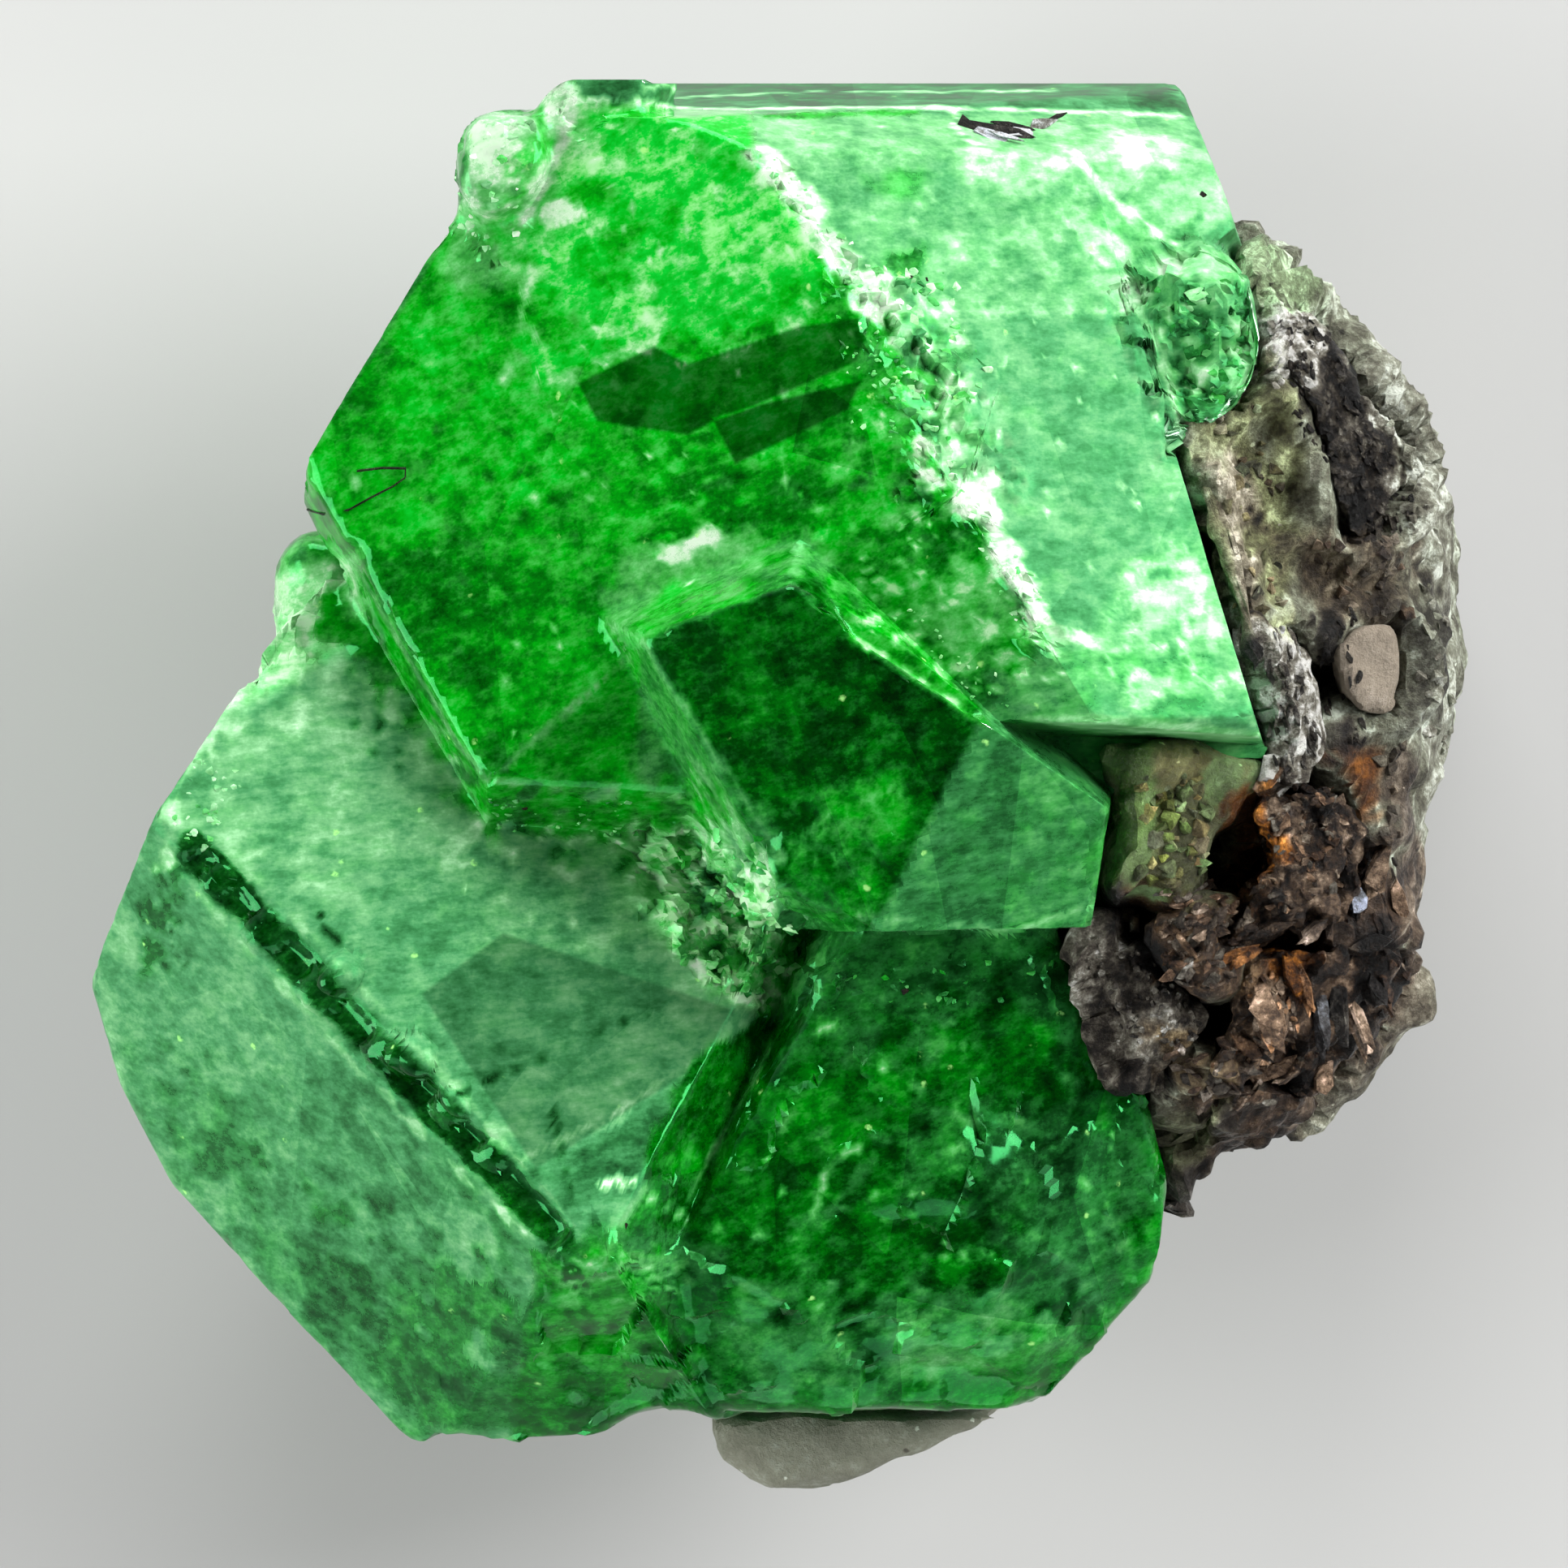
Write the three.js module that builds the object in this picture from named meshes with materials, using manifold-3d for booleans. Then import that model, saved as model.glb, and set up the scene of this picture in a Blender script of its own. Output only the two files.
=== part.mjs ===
// Tsavorite in matrix: green grossular garnets grown together against a crust of graphite-mica gneiss.
// Units are millimetres. The specimen lies on its back: +Z is up, out of the display face, +Y is the way its
// flat terminal face points, +X points to the matrix. The origin is on the resting surface, under the middle.

import * as THREE from "three";
import { mergeVertices } from "three/addons/utils/BufferGeometryUtils.js";
import Module from "manifold-3d";

const wasm = await Module();
wasm.setup();

// ---------- driving dimensions ----------
const GAP = 0.3; // clearance that neighbouring minerals keep
const BLOCK = 60; // edge of the blank that a crystal is cut from, well over the specimen's size
const DEGREE = Math.PI / 180;

// Corners where the garnets' faces meet, on the display side.
const CORNER = {
  ridgeTop: [-0.43, 9.3, 11.0],
  ridgeFoot: [3.84, 2.08, 12.4],
  leftShoulder: [-4.73, 8.85, 9.83],
  leftTip: [-7.2, 4.75, 9.28],
  lowerTip: [-4.42, -0.01, 10.2],
  chevron: [-2.1, 2.22, 10.78],
  chevronFoot: [-1.27, 0.07, 10.0],
  rightShoulder: [5.21, 6.97, 10.0],
  rightHip: [6.78, 1.39, 11.7],
  paleSide: [5.7, 5.6, 10.4],

  rhombLeft: [-2.09, 2.15, 12.0],
  rhombTop: [0.46, 2.99, 12.9],
  rhombRight: [2.81, 0.95, 13.0],
  rhombLow: [-0.07, -1.47, 11.6],
  apronLeft: [1.24, -2.17, 11.77],
  apronRight: [4.53, -2.12, 11.0],
  apronTop: [4.85, 0.13, 12.08],

  grooveTop: [-8.92, -1.02, 10.0],
  grooveFoot: [-3.3, -6.75, 11.2],
  westTop: [-7.63, 2.35, 8.6],
  westTip: [-10.5, -2.75, 7.7],
  southWest: [-9.39, -6.21, 6.44],
  southTip: [-5.74, -10.03, 7.16],
  southSide: [-7.56, -8.12, 6.8],
  saddle: [-4.45, -0.11, 9.0],
  kneeTop: [-0.79, -3.41, 9.63],
  kneeFoot: [-2.47, -6.54, 11.0],
};

// ---------- small tools ----------

// A closed geometry as a solid that can be joined and cut.
function solidOf(geometry) {
  const bare = geometry.index ? geometry.toNonIndexed() : geometry.clone();
  bare.deleteAttribute("normal");
  bare.deleteAttribute("uv");
  const merged = mergeVertices(bare, 1e-4);
  return new wasm.Manifold(
    new wasm.Mesh({
      numProp: 3,
      vertProperties: merged.attributes.position.array,
      triVerts: new Uint32Array(merged.index.array),
    }),
  );
}

// A solid as a geometry with flat shading.
function geometryOf(solid) {
  const mesh = solid.getMesh();
  const positions = new Float32Array(mesh.numVert * 3);
  for (let i = 0; i < mesh.numVert; i++) {
    const start = i * mesh.numProp;
    positions.set(mesh.vertProperties.subarray(start, start + 3), i * 3);
  }
  const geometry = new THREE.BufferGeometry();
  geometry.setAttribute("position", new THREE.BufferAttribute(positions, 3));
  geometry.setIndex(new THREE.BufferAttribute(mesh.triVerts, 1));
  const flat = geometry.toNonIndexed();
  flat.computeVertexNormals();
  return flat;
}

// A repeatable number from 0 to 1 for a lattice point.
function hash(i, j, k, seed) {
  let h = Math.imul(i, 374761393) + Math.imul(j, 668265263);
  h = (h + Math.imul(k, 2147483647) + Math.imul(seed, 1274126177)) | 0;
  h = Math.imul(h ^ (h >>> 13), 1103515245);
  return ((h ^ (h >>> 16)) >>> 0) / 4294967296;
}

// Smooth noise from -1 to 1.
function noise(x, y, z, seed) {
  const [i, j, k] = [Math.floor(x), Math.floor(y), Math.floor(z)];
  const ease = (t) => t * t * (3 - 2 * t);
  const [u, v, w] = [ease(x - i), ease(y - j), ease(z - k)];
  let sum = 0;
  for (const a of [0, 1])
    for (const b of [0, 1])
      for (const c of [0, 1])
        sum += hash(i + a, j + b, k + c, seed) * (a ? u : 1 - u) * (b ? v : 1 - v) * (c ? w : 1 - w);
  return 2 * sum - 1;
}

// A face of a crystal: a plane with an outward normal through a point.
function plane(normal, point) {
  const unit = new THREE.Vector3(...normal).normalize();
  return { normal: unit, offset: unit.dot(new THREE.Vector3(...point)) };
}

// The face through three corners, pointing up out of the display side.
function faceThrough(a, b, c) {
  const [p, q, r] = [a, b, c].map((corner) => new THREE.Vector3(...corner));
  const normal = q.clone().sub(p).cross(r.clone().sub(p));
  if (normal.z < 0) normal.negate();
  return plane(normal.toArray(), a);
}

// A side face on the edge a-b, with the outside on the right of the way from a to b. A positive lean
// turns it up.
function wall(a, b, lean) {
  const edge = new THREE.Vector3(b[0] - a[0], b[1] - a[1], b[2] - a[2]).normalize();
  const out = new THREE.Vector3(edge.y, -edge.x, 0).normalize();
  const up = new THREE.Vector3().crossVectors(out, edge).normalize();
  if (up.z < 0) up.negate();
  const normal = out.multiplyScalar(Math.cos(lean * DEGREE)).addScaledVector(up, Math.sin(lean * DEGREE));
  return plane(normal.toArray(), a);
}

// A face given by the compass direction it leans to, its elevation above the horizontal, and a point on it.
function facing(direction, elevation, point) {
  const [d, e] = [direction * DEGREE, elevation * DEGREE];
  return plane([Math.cos(d) * Math.cos(e), Math.sin(d) * Math.cos(e), Math.sin(e)], point);
}

// The side of a plane that holds the crystal, as a large block.
function halfSpace({ normal, offset }, grow) {
  const block = new THREE.BoxGeometry(2 * BLOCK, 2 * BLOCK, BLOCK);
  block.translate(0, 0, -BLOCK / 2);
  block.applyQuaternion(new THREE.Quaternion().setFromUnitVectors(new THREE.Vector3(0, 0, 1), normal));
  block.translate(...normal.clone().multiplyScalar(offset + grow).toArray());
  return solidOf(block);
}

// A crystal is what all of its faces leave of a blank that stands on the resting surface.
function crystal(faces, grow) {
  const blank = new THREE.BoxGeometry(BLOCK, BLOCK, BLOCK);
  blank.translate(0, 0, BLOCK / 2);
  let solid = solidOf(blank);
  for (const face of faces) solid = solid.intersect(halfSpace(face, grow));
  return solid;
}

// A lump with a given outline seen from above: a ball whose vertices are moved out to the outline, with a
// rough skin. A low value of square makes its sides upright.
function lump(shape, grow) {
  const { outline, low, high, detail, rough, grain = 1, seed, tilt = [0, 0], square } = shape;
  const sum = outline.reduce((total, [x, y]) => [total[0] + x, total[1] + y], [0, 0]);
  const middle = sum.map((s) => s / outline.length);
  const corners = outline.map(([x, y]) => new THREE.Vector3(x, y, 0));
  const curve = new THREE.CatmullRomCurve3(corners, true, "centripetal");
  const rim = curve.getPoints(6 * outline.length).map(({ x, y }) => {
    const [dx, dy] = [x - middle[0], y - middle[1]];
    return { angle: Math.atan2(dy, dx), radius: Math.hypot(dx, dy) };
  });
  rim.sort((p, q) => p.angle - q.angle);
  const radiusAt = (angle) => {
    const next = rim.findIndex((p) => p.angle > angle);
    const [after, before] = [rim[Math.max(next, 0)], rim[(next <= 0 ? rim.length : next) - 1]];
    const turn = 2 * Math.PI;
    const span = (after.angle - before.angle + turn) % turn || turn;
    const share = ((angle - before.angle + turn) % turn) / span;
    return before.radius + (after.radius - before.radius) * share;
  };
  const ball = new THREE.IcosahedronGeometry(1, detail);
  const position = ball.getAttribute("position");
  const half = (high - low) / 2;
  for (let i = 0; i < position.count; i++) {
    const [x, y, z] = [position.getX(i), position.getY(i), position.getZ(i)];
    const level = Math.hypot(x, y);
    const angle = Math.atan2(y, x);
    const reach = (radiusAt(angle) + grow) * Math.pow(level, square);
    const height = Math.sign(z) * Math.pow(Math.abs(z), 0.8) * (half + grow);
    const [cx, cy] = level > 1e-6 ? [x / level, y / level] : [0, 0];
    const at = [middle[0] + cx * reach, middle[1] + cy * reach, (low + high) / 2 + height];
    const coarse = noise(...at.map((c) => c / grain), seed);
    const fine = noise(...at.map((c) => (2.3 * c) / grain), seed + 7);
    const bump = rough * (coarse + fine / 2);
    at[0] += x * bump;
    at[1] += y * bump;
    at[2] += z * bump + (at[0] - middle[0]) * tilt[0] + (at[1] - middle[1]) * tilt[1];
    position.setXYZ(i, ...at);
  }
  return solidOf(ball);
}

// A seven-sided cleavage plate of mica, tilted by its three lean angles.
function flake({ size, thick, at, lean }, grow) {
  const rim = [[-1.2, -0.75], [-0.2, -1.0], [1.1, -0.7], [1.35, 0.1], [0.7, 0.85], [-0.6, 0.95], [-1.3, 0.3]];
  const shape = new THREE.Shape(rim.map(([x, y]) => new THREE.Vector2(x, y).multiplyScalar(size + grow)));
  const plate = new THREE.ExtrudeGeometry(shape, { depth: thick + 2 * grow, bevelEnabled: false });
  plate.translate(0, 0, -thick / 2 - grow);
  plate.rotateX(lean[0] * DEGREE);
  plate.rotateY(lean[1] * DEGREE);
  plate.rotateZ(lean[2] * DEGREE);
  plate.translate(...at);
  return solidOf(plate);
}

const joined = (solids) => solids.reduce((whole, solid) => whole.add(solid));
const cutBy = (solid, tools) => tools.reduce((rest, tool) => rest.subtract(tool), solid);

// ---------- the garnets ----------

// The two great faces of the upper garnet, and the flat face that ends it.
const greatFace = faceThrough(CORNER.ridgeTop, CORNER.ridgeFoot, CORNER.lowerTip);
const paleFace = faceThrough(CORNER.ridgeTop, CORNER.ridgeFoot, CORNER.paleSide);
const terminalFace = facing(90, 11, [0, 9.95, 10.2]);
const rearSlope = facing(90, -45, [0, 10.7, 5.6]);
const brightFacet = plane([0.33, 1.5, 1.0], [2, 9.4, 10.15]);

// Upper garnet, left half: the great face, the chevron face below it, and the sides.
function upperGarnetLeft(grow) {
  const c = CORNER;
  return crystal(
    [
      greatFace,
      paleFace,
      terminalFace,
      rearSlope,
      brightFacet,
      faceThrough(c.lowerTip, c.chevron, c.chevronFoot),
      wall([-3.15, 10.5, 9.9], [-4.75, 8.75, 9.8], 6),
      wall(c.leftShoulder, c.leftTip, -7),
      wall(c.leftTip, c.lowerTip, 16),
      facing(210, -30, [-6.9, 4.2, 7.6]),
      facing(146, -40, [-6.0, 7.0, 5.0]),
      facing(210, -52, [-6.2, 3.0, 3.4]),
      facing(0, 0, [2.5, 4, 8]),
      facing(270, 30, [-3.0, -0.05, 10.1]),
    ],
    grow,
  );
}

// Upper garnet, right half: the pale face and the bright facet along its top.
function upperGarnetRight(grow) {
  const c = CORNER;
  return crystal(
    [
      greatFace,
      paleFace,
      terminalFace,
      rearSlope,
      brightFacet,
      wall(c.rightHip, c.rightShoulder, 4),
      wall([-2.8, 10, 10], [-1.2, 0, 10], 0),
      facing(288, 42, [6.0, 0.92, 12.1]),
      facing(268, 6, [5.0, 0.66, 10.6]),
      facing(0, -3, [7.1, 4, 8.5]),
      facing(20, -45, [6.6, 6, 4.0]),
    ],
    grow,
  );
}

// Upper garnet, right shoulder: the pale face again, one growth step lower.
function shoulderGarnet(grow) {
  return crystal(
    [
      { normal: paleFace.normal, offset: paleFace.offset - 0.08 },
      terminalFace,
      rearSlope,
      brightFacet,
      wall([7.02, 7.9, 8.2], [6.15, 10.3, 8.2], 3),
      wall([5.0, 6.95, 10], [6.95, 8.2, 8], 20),
      facing(20, -45, [6.6, 6, 4.0]),
      facing(180, 0, [2.5, 8, 8]),
    ],
    grow,
  );
}

// Middle garnet: the dark rhomb, the pale apron on its right, and the narrow faces along its edges.
function middleGarnet(grow) {
  const c = CORNER;
  return crystal(
    [
      faceThrough(c.rhombLeft, c.rhombTop, c.rhombRight),
      faceThrough(c.rhombRight, c.apronLeft, c.apronRight),
      wall(c.rhombRight, c.rhombTop, 13),
      wall(c.rhombTop, c.rhombLeft, 24),
      wall(c.rhombLeft, c.rhombLow, 15),
      wall(c.rhombLow, c.apronLeft, 22),
      wall(c.apronLeft, c.apronRight, -1),
      wall(c.apronRight, c.apronTop, 2),
      wall(c.apronTop, c.rhombRight, 28),
      facing(0, -90, [0, 0, 6.5]),
    ],
    grow,
  );
}

// The step on the rhomb: its last growth layer stops short of the upper right edge.
function rhombStep() {
  const rim = [[0.46, 3.02], [0.99, 2.14], [2.86, 0.93], [3.4, 1.7], [1.2, 3.6]];
  const shape = new THREE.Shape(rim.map(([x, y]) => new THREE.Vector2(x, y)));
  const layer = new THREE.ExtrudeGeometry(shape, { depth: 2, bevelEnabled: false });
  return solidOf(layer.translate(0, 0, 12.4));
}

// Lower garnet: two great faces that meet along the etched groove, and the knee on their right.
function lowerGarnet(grow) {
  const c = CORNER;
  return crystal(
    [
      faceThrough(c.grooveTop, c.grooveFoot, c.southSide),
      faceThrough(c.grooveTop, c.grooveFoot, c.saddle),
      wall(c.kneeFoot, c.kneeTop, 42),
      facing(264, 44, [-3.3, -6.9, 11.1]),
      wall(c.westTop, c.westTip, -5),
      wall([-10.58, -3.1, 7.3], [-10.2, -4.6, 6.9], -3),
      wall([-10.2, -4.6, 6.9], c.southWest, -3),
      wall(c.southWest, c.southTip, -6),
      wall(c.southTip, [-0.9, -9.55, 7.5], -4),
      facing(80, 0, [-6, 3.0, 7]),
      facing(150, -45, [-9.2, 0.2, 4.4]),
      facing(202, -48, [-9.8, -4.5, 3.6]),
      facing(226, -46, [-7.6, -7.9, 3.8]),
      facing(272, -42, [-3, -9.6, 4.2]),
      facing(0, 0, [0.6, -5, 5]),
    ],
    grow,
  );
}

// Lower right: clear garnet with a broken, rippled skin, which carries the crystals above it.
const RIPPLED_SKIN = {
  outline: [
    [-5.5, -1.5], [-4.5, 3.0], [1, 4.5], [5.6, 3.0], [7.4, -2.5], [7.3, -6.4], [5.6, -9.9], [1, -10.9],
    [-3.2, -10.6], [-5.6, -6],
  ],
  low: -2, high: 10.0, detail: 10, rough: 0.36, grain: 1.15, seed: 17, square: 0.55,
};

function brokenGarnet(grow) {
  const block = crystal(
    [
      facing(320, -2, [4.9, -8.1, 6.5]),
      facing(352, -4, [5.6, -6.2, 7.0]),
      facing(15, 0, [4.75, -2.2, 7]),
      facing(270, -3, [1.5, -9.35, 6.5]),
      facing(151, 20, [-0.6, -4.7, 9.3]),
      facing(90, 0, [2, 1.5, 5]),
      facing(320, -44, [4.3, -7.6, 3.8]),
      facing(270, -40, [1.5, -9.0, 4.0]),
      facing(0, -30, [5.6, -4, 3.0]),
    ],
    grow,
  );
  return block.intersect(lump(RIPPLED_SKIN, grow));
}

// Small garnets that show past the edges of the big ones.
const KNOBS = [
  {
    outline: [
      [-4.9, 9.3], [-4.7, 9.9], [-4.0, 10.15], [-3.4, 10.1], [-3.5, 9.0], [-4.2, 8.2], [-4.85, 8.5],
    ],
    low: 8.0, high: 10.7, seed: 3,
  },
  {
    outline: [
      [-3.75, 10.2], [-3.45, 10.7], [-2.7, 10.8], [-1.6, 10.7], [-2.2, 9.6], [-3.2, 9.2], [-3.75, 9.6],
    ],
    low: 7.8, high: 10.3, seed: 4,
  },
  {
    outline: [[-7.8, 3.3], [-7.4, 3.85], [-6.6, 3.8], [-5.8, 2.6], [-6.4, 1.4], [-7.8, 2.0]],
    low: 4.8, high: 7.4, seed: 5,
  },
  {
    outline: [[5.3, 7.4], [6.3, 8.0], [6.9, 7.6], [7.05, 6.4], [6.6, 5.5], [5.9, 5.4]],
    low: 6.0, high: 10.2, seed: 6,
  },
];

// Shell-shaped breaks in the skin: each is where a flake of garnet has sprung off.
const BREAKS = [
  { at: [-1.7, -10.4, 6.4], radii: [1.3, 1.15, 4.0], turn: 8 },
  { at: [-4.9, -10.68, 6.4], radii: [0.9, 0.9, 4.0], turn: 0 },
  { at: [1.55, 6.1, 12.9], radii: [0.6, 1.2, 1.2], turn: 35 },
  { at: [2.55, 4.3, 13.3], radii: [0.6, 1.0, 1.35], turn: 20 },
  { at: [3.4, 9.9, 10.0], radii: [0.95, 0.42, 0.55], turn: 4 },
];

function breakAway({ at, radii, turn }) {
  const ball = new THREE.IcosahedronGeometry(1, 2);
  ball.scale(...radii);
  ball.rotateZ(turn * DEGREE);
  ball.translate(...at);
  return solidOf(ball);
}

// The groove etched along the edge between the two great faces of the lower garnet.
function groove() {
  const [top, foot] = [new THREE.Vector3(...CORNER.grooveTop), new THREE.Vector3(...CORNER.grooveFoot)];
  const path = [0, 1, 2, 3, 4, 5, 6].map((i) => {
    const at = top.clone().lerp(foot, i / 6);
    at.x += 0.16 * noise(1.9 * i, 0.5, 0.5, 12);
    at.z += 0.1 * noise(1.7 * i, 4.5, 0.5, 13);
    return at;
  });
  const section = new THREE.Shape().absarc(0, 0, 0.34, 0, 2 * Math.PI);
  const extrudePath = new THREE.CatmullRomCurve3(path);
  return solidOf(new THREE.ExtrudeGeometry(section, { steps: 18, curveSegments: 4, extrudePath }));
}

// All the garnet grew as one, so it is one solid. A grown copy of it clears the neighbours.
function garnet(grow) {
  return joined([
    upperGarnetLeft(grow),
    upperGarnetRight(grow),
    shoulderGarnet(grow),
    middleGarnet(grow),
    lowerGarnet(grow),
    brokenGarnet(grow),
    ...KNOBS.map((knob) => lump({ detail: 3, rough: 0.1, square: 0.3, ...knob }, grow)),
  ]);
}

// ---------- the matrix ----------

const CRUST = {
  outline: [
    [7.0, 8.5], [8.0, 7.6], [9.2, 6.6], [9.75, 5.5], [10.15, 4.5], [10.35, 3.3], [10.4, 2.0], [10.35, 0.9],
    [10.1, 0.1], [9.9, -1.2], [9.5, -3.2], [9.1, -4.0], [8.1, -5.0], [6.8, -5.6], [5.6, -5.3], [4.9, -3.6],
    [4.6, -1.0], [4.8, 2.0], [4.9, 5.0], [5.6, 7.4],
  ],
  low: -0.6, high: 9.8, detail: 6, rough: 0.24, grain: 1.25, seed: 21, tilt: [-0.42, 0.0], square: 0.36,
};

// A mineral let into the crust: it has its own outline, and its top follows the crust, a little proud of it.
function inlay({ outline, low, proud, detail = 3, seed }, grow) {
  const column = { outline, low, high: 14, detail, rough: 0.08, grain: 0.5, seed, square: 0.2 };
  return lump(column, grow).intersect(lump(CRUST, proud + grow));
}

const GRAPHITE_BAND = {
  outline: [
    [7.65, 7.2], [8.3, 6.6], [8.65, 5.8], [9.2, 5.4], [9.6, 4.3], [9.1, 4.5], [8.85, 3.7], [8.4, 3.7],
    [8.1, 5.2], [7.6, 6.1], [7.1, 6.4], [7.1, 6.8],
  ],
  low: 7.0, proud: 0.3, seed: 31,
};

const GRAPHITE_BLADE = {
  outline: [
    [6.95, 2.2], [7.6, 2.2], [7.85, 1.4], [7.95, 0.5], [7.7, 0.0], [7.2, 0.15], [7.05, 0.9],
    [6.9, 1.6],
  ],
  low: 7.6, proud: 0.55, seed: 41,
};

const GRAPHITE_FOOT = {
  outline: [[6.6, -4.8], [7.3, -4.6], [8.0, -4.8], [7.6, -5.4], [6.6, -5.6], [6.4, -5.2]],
  low: 5.8, proud: 0.25, seed: 47,
};

const GRAPHITE_TIP = {
  outline: [[6.3, -5.1], [7.0, -5.2], [6.25, -6.0], [5.85, -6.4]],
  low: 5.2, high: 7.6, detail: 1, rough: 0.02, seed: 97, square: 0.2,
};

const CALCITE_GRAIN = {
  outline: [[8.3, 2.15], [9.0, 2.35], [9.2, 1.4], [9.05, 1.1], [8.5, 1.3]],
  low: 7.6, proud: 0.4, detail: 1, seed: 71,
};

const GRAPHITE_CHUNK = {
  outline: [
    [4.2, -2.25], [4.65, -2.15], [5.4, -2.5], [5.7, -2.9], [6.1, -3.0], [6.25, -3.5], [6.0, -4.0],
    [5.5, -4.25], [4.95, -4.1], [4.85, -3.4], [4.6, -2.9],
  ],
  low: 7.0, high: 10.4, detail: 4, rough: 0.16, grain: 0.5, seed: 51, square: 0.3,
};

const QUARTZ_GRAIN = {
  outline: [
    [4.7, 0.6], [6.1, 0.75], [6.9, 1.4], [7.05, 0.8], [7.0, -0.3], [6.55, -0.55], [6.3, -1.2],
    [6.25, -1.9], [5.7, -2.0], [5.05, -1.6], [4.55, -1.35], [4.8, 0.2],
  ],
  low: 6.4, high: 10.9, detail: 4, rough: 0.14, grain: 0.8, seed: 61, tilt: [-0.25, 0.1], square: 0.2,
};

const CALCITE_WEDGE = {
  outline: [
    [-0.95, -9.2], [-0.95, -10.5], [0.3, -10.9], [1.6, -10.45], [2.9, -9.95], [3.75, -9.4],
    [4.1, -8.9], [1.5, -8.8],
  ],
  low: 3.6, high: 6.9, detail: 3, rough: 0.06, grain: 0.8, seed: 81, square: 0.15,
};

// The hollow between the quartz and the mica.
const HOLLOW = {
  outline: [[6.5, -0.45], [7.0, -0.4], [7.15, -1.4], [6.85, -1.85], [6.25, -1.95], [6.4, -1.2]],
  low: 7.2, high: 13, detail: 1, rough: 0.05, seed: 45, square: 0.2,
};

// Books of bronze mica: each is a body let into the crust, with plates that fan out one over the other.
const UPPER_MICA = {
  outline: [
    [7.1, 0.0], [7.9, 0.1], [8.5, -0.5], [8.6, -1.2], [8.35, -1.85], [7.3, -2.1], [6.5, -2.3],
    [6.8, -1.9], [7.15, -1.5],
  ],
  low: 7.0, proud: 0.3, seed: 91,
};

const LOWER_MICA = {
  outline: [
    [6.9, -2.7], [8.0, -2.6], [9.3, -2.6], [9.2, -3.2], [8.7, -3.9], [7.9, -4.8], [6.8, -5.3],
    [6.1, -5.0], [6.6, -4.2],
  ],
  low: 5.4, proud: 0.2, seed: 95,
};

function graphiteFoot(grow) {
  return inlay(GRAPHITE_FOOT, grow).add(lump(GRAPHITE_TIP, grow));
}

function upperMica(grow) {
  const plates = [0, 1, 2].map((i) => {
    const at = [7.55 + 0.1 * i, -0.75 - 0.35 * i, 10.4 - 0.16 * i];
    return flake({ size: 0.55, thick: 0.3, at, lean: [4 + 4 * i, 20, 30 * i] }, grow);
  });
  return joined([inlay(UPPER_MICA, grow), ...plates]);
}

function lowerMica(grow) {
  const plates = [0, 1, 2, 3].map((i) => {
    const at = [7.7 + 0.36 * i, -3.4 + 0.08 * i, 9.35 - 0.36 * i];
    return flake({ size: 0.75, thick: 0.24, at, lean: [0, 58 + 3 * i, -14 + 4 * i] }, grow);
  });
  return joined([inlay(LOWER_MICA, grow), ...plates]);
}

// ---------- assembly ----------

const MATERIALS = {
  garnet: { color: 0x1f9a3c, roughness: 0.15, metalness: 0 },
  graphite: { color: 0x3a3740, roughness: 0.4, metalness: 0.5 },
  quartz: { color: 0x7f8a6c, roughness: 0.3, metalness: 0 },
  calcite: { color: 0xc9b8a4, roughness: 0.6, metalness: 0 },
  mica: { color: 0x6b5340, roughness: 0.35, metalness: 0.3 },
  gneiss: { color: 0x8d9482, roughness: 0.7, metalness: 0 },
};

const garnetCuts = [groove(), rhombStep(), ...BREAKS.map(breakAway)];

// Minerals in the order in which they lie, front to back: each is cut back from those before it.
const layers = [
  { name: "graphite_chunk", make: (grow) => lump(GRAPHITE_CHUNK, grow), material: "graphite" },
  { name: "tsavorite_crystals", make: garnet, cuts: garnetCuts, material: "garnet" },
  { name: "graphite_blade", make: (grow) => inlay(GRAPHITE_BLADE, grow), material: "graphite" },
  { name: "graphite_band", make: (grow) => inlay(GRAPHITE_BAND, grow), material: "graphite" },
  { name: "graphite_foot", make: graphiteFoot, material: "graphite" },
  { name: "calcite_grain", make: (grow) => inlay(CALCITE_GRAIN, grow), material: "calcite" },
  { name: "quartz_grain", make: (grow) => lump(QUARTZ_GRAIN, grow), material: "quartz" },
  { name: "upper_mica_book", make: upperMica, cuts: [lump(HOLLOW, 0)], material: "mica" },
  { name: "lower_mica_book", make: lowerMica, material: "mica" },
  { name: "gneiss_crust", make: (grow) => lump(CRUST, grow), cuts: [lump(HOLLOW, 0)], material: "gneiss" },
  { name: "calcite_wedge", make: (grow) => lump(CALCITE_WEDGE, grow), material: "calcite" },
];

// The largest of the pieces that the cuts leave. Crumbs are dropped.
function largest(solid) {
  const pieces = solid.decompose();
  return pieces.reduce((best, piece) => (piece.volume() > best.volume() ? piece : best));
}

const specimen = new THREE.Group();
const aboveRest = crystal([], 0);
const taken = [];
for (const { name, make, cuts = [], material } of layers) {
  const solid = largest(cutBy(make(0), [...taken, ...cuts]).intersect(aboveRest));
  const mesh = new THREE.Mesh(geometryOf(solid), new THREE.MeshStandardMaterial(MATERIALS[material]));
  mesh.name = name;
  specimen.add(mesh);
  taken.push(make(GAP));
}

export default specimen;
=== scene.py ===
"""The looks of the tsavorite in matrix: clear green garnets on a crust of graphite-mica gneiss.

Everything is in metres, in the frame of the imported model. The specimen lies on its back, the display
side up, and the camera looks straight down on it. Sizes and places in this file are millimetres unless
a comment says otherwise, and MM turns them into metres.
"""

import math

import bmesh
import bpy
import numpy as np
from mathutils import Matrix, Vector, noise
from mathutils.bvhtree import BVHTree


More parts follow.
